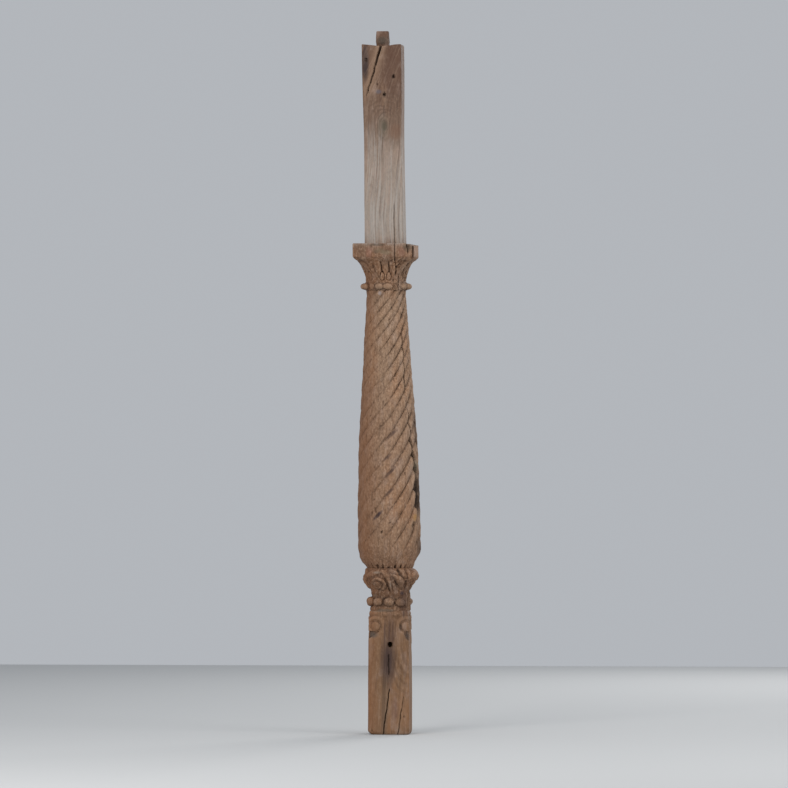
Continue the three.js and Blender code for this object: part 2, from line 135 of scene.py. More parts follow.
# Pearl ring
RING_TOP = 1286.0
RING_OUTLINE = [(1262, 57), (1264, 60.5), (1266, 61), (1281, 61), (1283, 60), (1286, 57.5)]
PEARL_COUNT = 16
PEARL_Z = 1273.5
PEARL_CIRCLE = 63.0
PEARL_SIZE = (10.8, 12.0, 8.8)
PEARL_TURN = 8.5
LOST_PEARL = 1
# Pearls of their own shape: how far they reach along the ring, and how far they stand out
ODD_PEARLS = {0: (1.3, 0.8), 14: (0.8, 0.3), 15: (1.2, 0.9)}

# Capital
CAPITAL_TOP = 1355.0
TONGUE_COUNT = 18
TONGUE_TURN = 13.0
LEAF_DEPTH = 2.8
GROOVE_DEPTH = 4.4
DROP_CUT = 3.4
RIB_HEIGHT = 2.2
CAPITAL_OUTLINE = [
    # height, half width, how square
    (1284, 57.5, 0), (1298, 58.2, 0), (1309, 61, 0.06), (1321, 65.3, 0.2), (1332, 70, 0.46),
    (1343, 77, 0.75), (1350, 83, 0.92), (1356, 87, 1)]

# Abacus, upper shaft and tenon
ABACUS_TOP = 1395.0
ABACUS_HALF = 87.4
UPPER_OUTLINE = [(1390, 55.2), (1660, 53.7), (1900, 56.2), (1970, 56.2)]
SHOULDER = 1961.0
UPPER_CRACKS = [([(-46, 1816), (-30, 1862), (-14, 1916), (2, 1975)], (1.5, 2.1, 2.7, 3.4), 46, 0.2)]
UPPER_BACK_CRACKS = [([(10, 1400), (14, 1520), (12, 1640)], (1.2, 1.0, 0.6), 12, 4.0)]
NAIL_HOLES = [
    ((-45.5, 1917), 4.6, 12), ((34.8, 1869), 4.2, 12), ((6.7, 1818), 3.8, 12), ((-14, 1846), 2.6, 3)]
KNOT = (5.5, 1727)
# Where the thin crack of the front runs on the capital and abacus, and on the upper shaft
FRONT_CRACK = [(1300, 31.8), (ABACUS_TOP, 33.3), (ABACUS_TOP + 1, 29.9)]
TENON_OUTLINE = [(SHOULDER, 19.0), (HEIGHT - 2, 17.5), (HEIGHT, 16.4)]


# Small tools on arrays

def smooth(low, high, value):
    t = np.clip((value - low) / (high - low), 0, 1)
    return t * t * (3 - 2 * t)


def fall(low, high, value):
    return 1 - smooth(low, high, value)


def bump(value, low, high, soft):
    """1 between low and high, and 0 outside, with soft edges."""
    rise = smooth(low - soft / 2, low + soft / 2, value)
    return rise * fall(high - soft / 2, high + soft / 2, value)


def bell(value, width):
    """1 at 0, falling smoothly to both sides."""
    return np.exp(-(value / width) ** 2)


def straight(rows, z):
    """Straight lines through rows of (height, value)."""
    return np.interp(z, *zip(*rows))


def outline(rows, z, column=1):
    """A smooth curve through rows of (height, value, ...)."""
    rows = np.array(rows, dtype=float)
    heights, values = rows[:, 0], rows[:, column]
    slopes = np.gradient(values, heights)
    i = np.clip(np.searchsorted(heights, z, side="right") - 1, 0, len(heights) - 2)
    span = heights[i + 1] - heights[i]
    t = np.clip((z - heights[i]) / span, 0, 1)
    low = values[i] * (2 * t ** 3 - 3 * t ** 2 + 1) + slopes[i] * span * (t ** 3 - 2 * t ** 2 + t)
    high = values[i + 1] * (3 * t ** 2 - 2 * t ** 3) + slopes[i + 1] * span * (t ** 3 - t ** 2)
    return low + high


def wrap(degrees):
    return (degrees + 180.0) % 360.0 - 180.0


def point(turn, radius, z):
    """The place of a radius at a turn from the front, on the upright axis."""
    a = np.radians(turn)
    return radius * np.sin(a), -radius * np.cos(a), z


def ripple(place, size, stretch, seed, terms=14):
    """A smooth random swell between about -1 and 1, whose waves are longer up the post by stretch."""
    rng = np.random.default_rng(seed)
    x, y, z = place
    total = 0.0
    for _ in range(terms):
        direction = rng.normal(size=3)
        direction *= rng.uniform(0.6, 1.5) * 2 * math.pi / (size * np.linalg.norm(direction))
        phase = rng.uniform(0, 2 * math.pi)
        total += np.cos(direction[0] * x + direction[1] * y + direction[2] * z / stretch + phase)
    return total / math.sqrt(terms / 2) / 1.6


def lean_at(z):
    return -LEAN * np.maximum(0, z - LEAN_START) / (HEIGHT - LEAN_START)


def face_of(turn):
    """For a square section: the number of the face, and the turn from the middle of that face."""
    face = np.round(turn / 90.0)
    return face.astype(int) % 4, turn - 90.0 * face


def square_radius(local, half, corner):
    """Distance from the axis to a square with round corners, at a turn from a face's middle."""
    a = np.radians(local)
    flat = half / np.cos(a)
    inner = half - corner
    along = inner * (np.abs(np.sin(a)) + np.cos(a))
    root = np.maximum(along ** 2 - 2 * inner ** 2 + corner ** 2, 0)
    rounded = along + np.sqrt(root)
    return np.where(np.abs(half * np.tan(a)) > inner, np.minimum(rounded, flat), flat)


def curve_points(points, count=70):
    """A smooth curve through a few points, as many."""
    points = np.array(points, dtype=float)
    steps = np.concatenate([[0], np.cumsum(np.linalg.norm(np.diff(points[:, :2], axis=0), axis=1))])
    rows = np.column_stack([steps, points])
    t = np.linspace(0, steps[-1], count)
    return np.column_stack([outline(rows, t, c + 1) for c in range(points.shape[1])])


def ridge(across, up, points, height, vein=0.0):
    """A rounded ridge along a curve of (across, up, half width), with a groove along its middle."""
    track = curve_points(points)
    reach = track[:, 2].max() + 1
    inside = (across > track[:, 0].min() - reach) & (across < track[:, 0].max() + reach)
    inside &= (up > track[:, 1].min() - reach) & (up < track[:, 1].max() + reach)
    x, y = across[inside], up[inside]
    ratio = np.full(x.shape, 9.0)
    near = np.full(x.shape, 9.0)
    for middle, level, half in track:
        distance = np.hypot(x - middle, y - level)
        here = distance / max(half, 0.3)
        near = np.where(here < ratio, distance, near)
        ratio = np.minimum(here, ratio)
    part = height * np.maximum(1 - ratio ** 2, 0) ** 0.7
    part -= vein * bell(near, 1.6) * (ratio < 1)
    result = np.zeros_like(across)
    result[inside] = part
    return result


# Foot

def foot_carving(u, z):
    """Height of the scrolls on a face of the foot, at a distance from its middle line."""
    v = u - SCROLL_SHIFT
    a = np.abs(v)
    rho = np.hypot(a - SCROLL_OFFSET, z - SCROLL_Z)
    side = np.degrees(np.arctan2(z - SCROLL_Z, SCROLL_OFFSET - a))  # 0 towards the middle line, 90 up
    # The groove round the eye fades out on its outer side.
    depth = EYE_GROOVE * bump(rho, EYE_RADIUS, COIL_INNER, 4.5) * bump(side, -80, 150, 40)
    depth += 0.05 * np.clip(rho - 3, 0, EYE_RADIUS - 3) ** 1.6 * (rho < EYE_RADIUS + 1)
    # The strap of the coil is rounded across.
    strap = np.clip((rho - COIL_INNER) / (COIL_OUTER - COIL_INNER), 0, 1)
    depth += 0.9 * (2 * strap - 1) ** 2 * bump(rho, COIL_INNER, COIL_OUTER, 2) * (side > -30)
    # The three-cornered hollow under the eye
    line = np.where(v < 0, 272 + 0.62 * (u + 59), 266 + 1.35 * (59 - u))
    hollow = smooth(-1, 2.5, z - line) * fall(293, 296, z) * smooth(-1, 1.5, rho - EYE_RADIUS)
    hollow *= np.where(v < 0, fall(-30, -23, u), smooth(42, 49, u))
    depth = np.maximum(depth, HOLLOW_DEPTH * hollow)
    # The ground over the coils and between the stems
    over = smooth(COIL_OUTER - 1, COIL_OUTER + 2, rho) * smooth(300, 308, z) * fall(336, 348, z)
    depth = np.maximum(depth, GROUND_DEPTH * over)
    reach = 4 + (STEM_INNER - 4) * smooth(228, 296, z)
    channel = fall(reach - 2, reach + 1.5, a) * smooth(215, 265, z) * fall(334, 346, z)
    depth = np.maximum(depth, GROUND_DEPTH * channel)
    reeds = REED_HEIGHT * np.maximum(1 - ((a - 4.6) / 3.6) ** 2, 0) ** 0.7
    depth -= reeds * smooth(248, 280, z) * fall(322, 332, z)
    bud = np.hypot((a - 15.5) / 7.5, (z - 341) / 7)
    depth -= BUD_HEIGHT * np.sqrt(np.maximum(1 - bud ** 2, 0))
    return -depth


def slit(u, z, line, half, depth, seed):
    """A ragged crack along a line of (across, height) on a flat face, as a depth."""
    line = np.array(sorted(line, key=lambda p: p[1]), dtype=float)
    middle = np.interp(z, line[:, 1], line[:, 0])
    middle += 0.9 * np.sin(z / 7.0 + seed) * np.sin(z / 17.0 + 2 * seed)
    width = np.interp(z, line[:, 1], half)
    inside = (z >= line[0, 1]) & (z <= line[-1, 1])
    ends = smooth(line[0, 1], line[0, 1] + 6, z) if line[0, 1] > 0 else 1.0
    ends = ends * fall(line[-1, 1] - 8, line[-1, 1], z)
    open_ = fall(0.55, 1.25, np.abs(u - middle) / np.maximum(width, 0.2))
    return -depth * open_ * ends * inside


def pit(u, z, at, radius, depth, soft=1.2):
    return -depth * fall(radius - soft / 2, radius + soft / 2, np.hypot(u - at[0], z - at[1]))


def face_cuts(u, z, cracks, pits=()):
    """All cracks and holes of a flat face, as a depth."""
    return sum(slit(u, z, *row) for row in cracks) + sum(pit(u, z, *row) for row in pits)


def wood_skin(place, seed):
    """Low unevenness of an old planed face: broad swells and long shallow grain ridges."""
    return 0.3 * ripple(place, 70, 4, seed) + 0.16 * ripple(place, 8, 16, seed + 1)


def foot(turn, z):
    face, local = face_of(turn)
    half = straight(FOOT_OUTLINE, z)
    place = point(turn, half, z)
    half -= (3.8 + 0.9 * ripple(place, 25, 1, 10)) * smooth(338, 353, z)
    bottom = 11.0 * fall(0, 12, z) * (0.8 + 0.3 * ripple(place, 30, 1, 12))
    base = square_radius(local, half, np.clip(2.0 + 0.7 * ripple(place, 40, 3, 11) + bottom, 1.0, 16))
    u = half * np.tan(np.radians(local))
    relief = foot_carving(u + 0.6 * ripple(place, 22, 1, 13), z + 0.6 * ripple(place, 22, 1, 14))
    relief += wood_skin(place, 21)
    relief += face_cuts(u, z, FOOT_CRACKS, FOOT_PITS) * (face == 0)
    relief += face_cuts(u, z, FOOT_BACK_CRACKS) * (face == 2)
    chip = np.maximum(0, ripple(place, 26, 1.6, 31) - 0.85) * smooth(38, 45, np.abs(local))
    # The lower left edge is broken away.
    broken = BROKEN_EDGE * fall(-3, 12, z) * bell(wrap(turn + 72), 45)
    return base, (relief - 3 * chip - broken) / np.cos(np.radians(local))


# Beads and the raw wood where one is lost

def beads(turn, z):
    neck = straight(NECK_OUTLINE, z)
    place = point(turn, neck, z)
    radius = neck + 0.5 * ripple(place, 14, 1, 41)
    rng = np.random.default_rng(5)
    for n in range(BEAD_COUNT):
        size = BEAD_RADIUS + rng.uniform(-0.9, 0.2)
        height = BEAD_Z - 1.5 + rng.uniform(-1.5, 1.5)
        circle = BEAD_CIRCLE + rng.uniform(-1.4, 0.4)
        if n == LOST_BEAD:
            continue
        if n == FAR_BEAD:
            circle += FAR_BEAD_SHIFT
        offset = np.radians(wrap(turn - BEAD_TURN - n * 360 / BEAD_COUNT))
        rise = (z - height + 0.9 * ripple(place, 16, 1, 42)) * 1.16
        inside = size ** 2 - rise ** 2 - (circle * np.sin(offset)) ** 2
        ball = circle * np.cos(offset) + np.sqrt(np.maximum(inside, 0))
        flat = 67.2 + 1.1 * ripple(place, 12, 1, 43 + n)
        ball = np.minimum(ball, flat)
        radius = np.where((inside > 0) & (np.abs(offset) < 0.6), np.maximum(radius, ball), radius)
    raw, cuts = raw_wood(turn, z)
    relief = np.maximum(radius, raw) - neck
    # Painted shade in the gaps between the beads and on the neck behind them
    dirt_and_painted_shade = fall(0.5, 6, relief) * bump(z, 365, 390, 6)
    return neck, relief, np.maximum(dirt_and_painted_shade, cuts * (raw > radius))


def raw_wood(turn, z):
    """The split, straight-grained wood between the foot and the band at the right, and its grooves."""
    middle = PATTERN_TURN + LOST_BEAD * 360 / BEAD_COUNT
    off = wrap(turn - middle)
    grain = ripple(point(turn, 58, z), 5, 30, 51)
    edge = RAW_HALF_TURN + 2.5 * np.sin(z / 9.0)
    top = RAW_TOP + 7 * np.cos(np.radians(off * 9))
    splinters = RAW_RADIUS + 1.7 * grain - 1.5 * smooth(8, 24, np.abs(off))
    cuts = np.zeros_like(turn)
    for at, share, wide in RAW_GROOVES:
        cuts = np.maximum(cuts, share * bell(off - at + 1.5 * np.sin(z / 13.0 + at), wide))
    inside = np.abs(off) < edge
    radius = splinters - 5 * cuts - 8 * smooth(top - 6, top + 6, z)
    return np.where(inside, radius, 0), cuts * inside


# Band of scrolls and leaves

def spiral(centre, radii, start, turns, half):
    """Points of a scroll that winds inwards, with the half width of its ridge."""
    count = 22
    points = []
    for i in range(count):
        t = i / (count - 1)
        a = math.radians(start) + t * turns * 2 * math.pi
        shrink = 1 - 0.42 * t
        points.append((
            centre[0] + radii[0] * shrink * math.cos(a),
            centre[1] + radii[1] * shrink * math.sin(a),
            half * (1 - 0.3 * t)))
    return points


# The ridges of one unit of the band: points of (across, up, half width), height and depth of the vein
BAND_STROKES = [
    (spiral((-40, 428), (24, 17), -60, 0.98, 6.2), 6.0, 0),
    ([(-45, 427, 10), (-42, 427, 10)], 7.4, 0),
    # The broad lobe over the scroll
    ([(-76, 451, 8), (-60, 457, 10.5), (-44, 461, 10), (-31, 464, 6)], 6.4, 0),
    ([(-24, 466, 6), (-15, 459, 9), (-7, 449, 7)], 6.8, 0),
    # The stem between scroll and leaf
    ([(-7, 448, 4.6), (-1, 432, 5), (2, 420, 4.6), (5, 404, 3.4)], 6.4, 0),
    # The big curling leaf and the lobes over it
    ([(13, 451, 6), (25, 444, 10), (36, 431, 10.5), (43, 418, 6)], 8.8, 0),
    ([(3, 468, 5), (12, 463, 7.5), (20, 459, 5)], 5.4, 0),
    ([(33, 469, 6), (41, 461, 9), (46, 450, 7)], 6.4, 0),
    ([(12, 424, 5), (18, 413, 7), (22, 405, 4)], 3.2, 0),
    # The upright leaf that leads to the next scroll
    ([(58, 470, 5), (61, 458, 8.5), (64, 444, 7)], 6.8, 1.0),
    ([(64, 429, 4), (70, 423, 5.5), (76, 414, 4)], 3.0, 0)]

# Hollows of one unit: points and depth
BAND_HOLLOWS = [
    ([(-15, 443, 2.2), (-8.5, 428, 3.2), (-2, 409, 2.2)], 4.5),
    ([(16, 437, 4), (25, 427, 5), (30, 417, 3.5)], 3.2),
    ([(24, 470, 2.5), (27, 459, 4), (29, 453, 2.5)], 3.5),
    ([(34, 406, 4), (38, 402, 4.5)], 3.0),
    ([(54, 436, 3), (57, 427, 6), (60, 418, 4)], 5.5)]


def leaf_band(turn, z):
    ground = outline(BAND_GROUND, z)
    place = point(turn, ground, z)
    length = math.radians(BAND_UNIT) * BAND_MEAN_RADIUS
    across = np.radians(wrap(turn - PATTERN_TURN)) * BAND_MEAN_RADIUS + 0.9 * ripple(place, 30, 1, 61)
    across = (across + length / 2) % length - length / 2
    up = z + 0.8 * ripple(place, 26, 1, 62)
    height = np.zeros_like(turn)
    hollow = np.zeros_like(turn)
    for shift in (-length, 0, length):
        for points, tall, vein in BAND_STROKES:
            height = np.maximum(height, ridge(across - shift, up, points, tall, vein))
        for points, deep in BAND_HOLLOWS:
            hollow = np.maximum(hollow, ridge(across - shift, up, points, deep))
    height = height * (0.92 + 0.12 * ripple(place, 25, 1, 63)) + 0.65 * ripple(place, 6, 2, 64)
    fade = smooth(BEAD_TOP, 410, z) * (1 - 0.5 * smooth(468, BAND_TOP, z))
    relief = (height - hollow * (height < 2.5)) * fade
    # One leaf stands further out at the right.
    far = bell(wrap(turn - 92), 18) * bell(z - 450, 13)
    relief += (11.5 - relief) * far
    relief -= 5.5 * bell(wrap(turn + 86), 20) * bell(z - 456, 14)
    radius = ground - 0.8 + relief
    raw, cuts = raw_wood(turn, z)
    return ground, np.maximum(radius, raw) - ground, cuts * (raw > radius)


# Petals, strands and the open check

TWIST_HEIGHTS = np.arange(SHAFT_OUTLINE[0][0], SHAFT_OUTLINE[-1][0] + 1.0)
TWIST_STEPS = np.degrees(STRAND_PITCH / outline(SHAFT_OUTLINE, TWIST_HEIGHTS + 0.5))
TWIST_SUM = np.concatenate([[0], np.cumsum(TWIST_STEPS)[:-1]])


def twist_at(z):
    """The turn that a strand has made at a height, whose slope is the same all the way up."""
    return np.interp(z, TWIST_HEIGHTS, TWIST_SUM) - np.interp(STRAND_CREST_Z, TWIST_HEIGHTS, TWIST_SUM)


def strand_place(turn, z):
    """Across a strand: 0 and 1 in the grooves, 0.5 on the crest. The strands crowd on the right side."""
    even = turn - STRAND_SKEW * np.cos(np.radians(turn))
    crest = PATTERN_TURN - STRAND_SKEW + twist_at(z)
    return ((even - crest) / (360 / STRAND_COUNT) + 0.5) % 1.0


def strand_fall(across, turn, z):
    distance = np.abs(2 * across - 1)
    depth = STRAND_DEPTH + STRAND_DEPTH_SWING * np.sin(np.radians(turn))
    line = (0.5 + 0.4 * np.sin(np.radians(turn))) * bell(1 - distance, 0.1)
    return (depth * distance ** 2.3 + line) * smooth(500, 575, z)


def petals(turn, z):
    base = outline(SHAFT_OUTLINE, z)
    place = point(turn, base, z)
    across = ((turn - PETAL_TURN + 1.5 * ripple(place, 24, 1, 70)) / (360 / PETAL_COUNT)) % 1.0
    edge = np.abs(2 * across - 1)
    uneven = np.clip(1 + 0.6 * ripple(place, 20, 1, 72), 0.15, 1.6)
    flute = -PETAL_FLUTE * uneven * edge ** 5 * fall(482, 510, z)
    notch = -PETAL_NOTCH * uneven * bell(1 - edge, 0.33) * fall(477, 486, z)
    tip = -2.0 * fall(0, 4.0, z - 471.5 - 4 * edge ** 3)
    strands = -strand_fall(strand_place(turn, z), turn, z)
    # The row swells more at the left and is worn at the right.
    swell = 5.0 * bell(wrap(turn + 80), 38) - 2.5 * bell(wrap(turn - 88), 30)
    swell = swell * bump(z, 484, 508, 16)
    return base, flute + notch + tip + strands + swell + 0.5 * ripple(place, 10, 3, 71)


def twisted(turn, z):
    base = outline(SHAFT_OUTLINE, z)
    place = point(turn, base, z)
    across = strand_place(turn + 1.0 * ripple(place, 60, 3, 80), z)
    # Each strand is a little higher or lower than its neighbours, with faint marks of the blade along it.
    uneven = 1 + 0.26 * ripple(place, 60, 3, 81)
    along = (across * 5 + 0.35 * ripple(place, 40, 3, 82)) % 1.0
    relief = -strand_fall(across, turn, z) * uneven - 0.25 * np.abs(2 * along - 1)
    relief += 0.4 * ripple(place, 40, 3, 83) + 0.45 * ripple(place, 7, 4, 84, 24)
    relief -= 1.3 * np.maximum(0, ripple(place, 6, 7, 86, 24) - 0.75)
    relief -= 1.6 * np.maximum(0, ripple(place, 15, 2, 85) - 0.8)
    for at_turn, at_z, size, deep in SHAFT_PITS:
        distance = np.hypot(np.radians(wrap(turn - at_turn)) * base, (z - at_z) * 0.7)
        relief -= deep * fall(size * 0.5, size, distance)
    check = check_cut(LONG_CHECK, turn, z, base, across)
    check = np.minimum(check, check_cut(SHORT_CHECK, turn, z, base, across))
    # The open checks also get painted shade through the hollowness, as well as their depth.
    return base, relief + check, smooth(0.5, 3.0, -check)


# Small holes and gouges in the shaft: turn, height, radius, depth
SHAFT_PITS = [
    (-18, 622, 5.5, 3.5), (6, 602, 3, 4), (-10, 576, 3.2, 4), (-24, 667, 2.6, 3), (57, 595, 8, 14),
    (20, 1010, 2.5, 3), (-35, 905, 2.8, 3), (38, 742, 3, 3), (12, 1180, 2.4, 3), (150, 820, 4, 5),
    (-120, 700, 3.5, 4), (-95, 1090, 3, 4), (200, 1000, 3, 4), (87, 524, 7, 6)]


def check_cut(stations, turn, z, base, across):
    middle = outline(stations, z) + 1.0 * np.sin(z / 23.0) + 0.7 * np.sin(z / 9.0)
    deep = np.maximum(outline(stations, z, 3), 0)
    off = np.radians(wrap(turn - middle)) * base
    # Its left edge follows the broken ends of the strands.
    scallop = np.where(off < 0, 0.75 + 0.6 * np.abs(2 * across - 1) ** 1.5, 0.95)
    half = np.maximum(outline(stations, z, 2), 0) * scallop
    rough = 1 + 0.2 * ripple(point(turn, base, z), 6, 9, 91)
    inside = (z > stations[0][0]) & (z < stations[-1][0])
    # Further up it opens only here and there.
    closed = smooth(840, 900, z) * fall(-0.5, 0.5, ripple(point(turn, base, z), 45, 1, 92))
    deep = deep * (1 - 0.75 * closed)
    wedge = fall(0.6, 1.0, np.abs(off) / np.maximum(half, 0.2))
    return -deep * wedge * rough * inside


# Pearl ring and capital

def pearls(turn, z):
    core = straight(RING_OUTLINE, z)
    place = point(turn, core, z)
    radius = core + 0.4 * ripple(place, 12, 1, 101)
    out, along, up = PEARL_SIZE
    rng = np.random.default_rng(8)
    for n in range(PEARL_COUNT):
        shift = rng.uniform(-1.2, 1.2)
        size = rng.uniform(0.92, 1.04)
        if n == LOST_PEARL:
            continue
        long, tall = ODD_PEARLS.get(n, (1, 1))
        off = np.radians(wrap(turn - PEARL_TURN - shift - n * 360 / PEARL_COUNT)) * 70
        rest = 1 - (off / (along * size * long)) ** 2 - ((z - PEARL_Z) / up) ** 2
        pearl = core + (PEARL_CIRCLE - core + out * size * np.maximum(rest, 0) ** 0.5) * tall
        radius = np.maximum(radius, np.where(rest > 0, pearl, 0))
    lost = np.exp(-(wrap(turn - PEARL_TURN - LOST_PEARL * 360 / PEARL_COUNT) / 9) ** 4)
    radius -= lost * (2.5 + 1.5 * ripple(place, 5, 8, 103)) * bump(z, 1265, 1283, 3)
    return core, radius - core - crack_across_ring(turn, z)


def crack_across_ring(turn, z):
    """The crack that runs through the ring into the capital, at the right of the lost pearl."""
    off = wrap(turn - 42 - 1.5 * np.sin(z / 6.0))
    return 5 * bell(off, 1.3) * smooth(1225, 1250, z) * fall(1300, 1320, z)


def capital(turn, z):
    half = outline(CAPITAL_OUTLINE, z)
    square = np.clip(outline(CAPITAL_OUTLINE, z, 2), 0, 1)
    _, local = face_of(turn)
    base = half * (1 + (square_radius(local, 1.0, 0.06) - 1) * square)
    place = point(turn, half, z)
    step = 360 / TONGUE_COUNT
    number = (turn - TONGUE_TURN + 2.0 * ripple(place, 35, 1, 110)) / step
    nearest = np.round(number)
    off = (number - nearest) * step
    leaf = nearest.astype(int) % TONGUE_COUNT
    side = np.radians(off) * half  # distance from the nearest groove
    middle = 1 - np.abs(off) / (step / 2)  # 1 at the groove and 0 in the middle of a leaf
    # Some leaves and drops are cut deeper than others, and some are nearly worn away.
    rng = np.random.default_rng(19)
    groove_share = rng.uniform(0.45, 1.0, TONGUE_COUNT)
    drop_share = rng.uniform(0.15, 0.85, TONGUE_COUNT)
    groove_share[[0, -1]] = 1.0
    drop_share[[0, -1]] = 1.0
    groove_share[[1, -2]] = 0.35
    drop_share[[1, -2]] = 0.15
    groove_share, drop_share = groove_share[leaf], drop_share[leaf]
    relief = -LEAF_DEPTH * middle ** 2 * (0.5 + 0.5 * groove_share) * fall(1340, 1354, z)
    relief -= 0.8 * bell(1 - middle, 0.16) * bump(z, 1304, 1340, 12)
    relief -= GROOVE_DEPTH * groove_share * bell(side, 1.9) * bump(z, 1312, 1343, 7)
    # A drop hangs under each groove, with a cut round it.
    tall = np.where(z > 1301, 12.5, 10.5)
    ring = np.hypot(side / (6.6 - 0.07 * (z - 1301)), (z - 1301) / tall)
    drop = -1.5 + 2.6 * np.sqrt(np.maximum(1 - ring ** 2, 0))
    relief = np.where(ring < 1, relief * (1 - drop_share) + drop * drop_share, relief)
    relief -= DROP_CUT * drop_share * bump(ring, 1.0, 1.32, 0.22) * smooth(1288, 1294, z)
    # Gouges between the leaf tips that curl out under the abacus
    high = np.abs(off) - step * 0.22
    notch = bell(np.radians(high) * half, 2.6) * bell(z - 1341 - 3 * groove_share, 4.5)
    relief -= DROP_CUT * notch * rng.uniform(0.2, 1.0, TONGUE_COUNT)[leaf]
    # A leaf rib runs down from each corner of the abacus.
    corner = np.abs(np.abs(local) - 45) * half * math.pi / 180
    relief += RIB_HEIGHT * bell(corner, 4.5) * bump(z, 1314, 1350, 10)
    relief -= RIB_HEIGHT * bell(corner - 10, 2.2) * bump(z, 1316, 1346, 8)
    # The carving is worn to rough grain at the right of the front.
    torn = 1 + 1.4 * bump(turn, 20, 80, 14)
    relief += 0.8 * torn * ripple(place, 8, 2.5, 111)
    relief -= 2.6 * torn * np.maximum(0, ripple(place, 14, 1.6, 112) - 0.6)
    fade = smooth(1286, 1291, z)
    crack = front_crack(turn, z, base)
    return base, relief * fade - crack_across_ring(turn, z) - crack, crack / 6


def front_crack(turn, z, base):
    """The thin upright crack that crosses the upper shaft's foot, the abacus and the capital."""
    face, local = face_of(turn)
    u = base * np.sin(np.radians(local))
    middle = straight(FRONT_CRACK, z) + 0.5 * np.sin(z / 13.0)
    crack = fall(0.5, 1.5, np.abs(u - middle) / 0.9)
    return np.where(face == 0, 6 * crack * smooth(1300, 1315, z) * fall(1480, 1520, z), 0)


def abacus(turn, z):
    face, local = face_of(turn)
    half = ABACUS_HALF - 1.6 * fall(CAPITAL_TOP, 1357.5, z) - 1.6 * smooth(1391.5, ABACUS_TOP, z)
    place = point(turn, half, z)
    half += 0.25 * ripple(place, 45, 1, 121)
    base = square_radius(local, half, np.clip(2.2 + 1.0 * ripple(place, 30, 1, 122), 1.2, 5))
    u = half * np.tan(np.radians(local))
    relief = 0.3 * ripple(place, 11, 5, 123) - 1.6 * np.maximum(0, ripple(place, 16, 1, 124) - 0.9)
    wedge = 4.2 * smooth(1357, ABACUS_TOP, z)
    notch = -9 * fall(wedge - 0.8, wedge + 0.8, np.abs(u - 70.5)) * smooth(1360, 1368, z)
    notch -= 1.8 * bump(u, -46, -34, 6) * bump(z, 1375, 1391, 7)
    notch -= 1.6 * bump(u, -14, 14, 9) * bump(z, 1364, 1378, 9)
    relief += notch * (face == 0) - front_crack(turn, z, base)
    # A dark crack along the corner of the front and the right side
    crack = bell(u - 85, 1.5) * (face == 0)
    return base, (relief - 3.2 * crack) / np.cos(np.radians(local)), crack


# Upper shaft and tenon

def upper_shaft(turn, z):
    face, local = face_of(turn)
    half = outline(UPPER_OUTLINE, z) - 1.0 * smooth(SHOULDER - 1.5, SHOULDER, z)
    place = point(turn, half, z)
    base = square_radius(local, half, np.clip(1.9 + 0.7 * ripple(place, 60, 3, 131), 0.8, 5))
    u = half * np.tan(np.radians(local))
    relief = wood_skin(place, 132)
    knot = np.hypot((u - KNOT[0]) / 7, (z - KNOT[1]) / 13)
    cuts = face_cuts(u, z, UPPER_CRACKS, NAIL_HOLES) - front_crack(turn, z, base)
    cuts += 1.2 * bell(knot - 1.9, 0.6) - 2.4 * bell(knot, 1)
    relief += cuts * (face == 0)
    relief += face_cuts(u, z, UPPER_BACK_CRACKS) * (face == 2)
    return base, relief / np.cos(np.radians(local))


def tenon(turn, z):
    _, local = face_of(turn)
    half = straight(TENON_OUTLINE, z)
    place = point(turn, half, z)
    base = square_radius(local, half, 1.8)
    gap = 1.6 * fall(SHOULDER, SHOULDER + 8, z)
    return base, (0.35 * ripple(place, 8, 6, 141) - 0.3 - gap) / np.cos(np.radians(local))


# The grid of the whole surface: a list of parts, each with its heights and its surface

def heights(low, top, step):
    return np.linspace(low, top, max(2, int(round((top - low) / step)) + 1))


SECTIONS = [
    (np.array([0, 0.8, 1.8, 3, 5, 8, 12]), foot),
    (heights(16, 222, 4.5), foot),
    (heights(224, FOOT_TOP, 1.25), foot),
    (heights(FOOT_TOP, BEAD_TOP, 1.25), beads),
    (heights(BEAD_TOP, BAND_TOP, 1.1), leaf_band),
    (heights(BAND_TOP, PETAL_TOP, 1.5), petals),
    (heights(PETAL_TOP, SHAFT_TOP, 3.6), twisted),
    (heights(SHAFT_TOP, RING_TOP, 1.0), pearls),
    (heights(RING_TOP, CAPITAL_TOP, 1.15), capital),
    (np.concatenate(
        [heights(CAPITAL_TOP, 1358, 1), heights(1361, 1391, 3), heights(1392.5, ABACUS_TOP, 1.2)]), abacus),
    (np.concatenate([heights(ABACUS_TOP, 1956, 4.2), heights(1957.5, SHOULDER, 1.2)]), upper_shaft),
    (heights(SHOULDER, HEIGHT, 3.5), tenon)]
COLUMNS = 32 * STRAND_COUNT
SHELF_RINGS = 5


def column_turns(z):
    """The turns of the grid's columns: they follow the strands up the shaft, and are upright elsewhere."""
    step = 360 / COLUMNS
    climb = twist_at(np.clip(z, PETAL_TOP, SHAFT_TOP)) - twist_at(PETAL_TOP)
    whole = twist_at(SHAFT_TOP) - twist_at(PETAL_TOP)
    even = np.arange(COLUMNS) * step + climb * round(whole / step) * step / whole
    share = smooth(BAND_TOP, PETAL_TOP, z) * fall(SHAFT_TOP - 35, SHAFT_TOP, z)
    turn = even
    for _ in range(12):
        turn = even + share * STRAND_SKEW * np.cos(np.radians(turn))
    return turn


def blurred(values, rows, columns):
    """A smooth mean over a part of the grid, which closes on itself round the post."""
    def kernel(sigma):
        reach = max(1, int(3 * sigma))
        weights = np.exp(-0.5 * (np.arange(-reach, reach + 1) / sigma) ** 2)
        return weights / weights.sum(), reach
    weights, reach = kernel(columns)
    total = sum(w * np.roll(values, k - reach, axis=1) for k, w in enumerate(weights))
    weights, reach = kernel(rows)
    padded = np.pad(total, ((reach, reach), (0, 0)), mode="edge")
    return sum(w * padded[k:k + len(values)] for k, w in enumerate(weights))


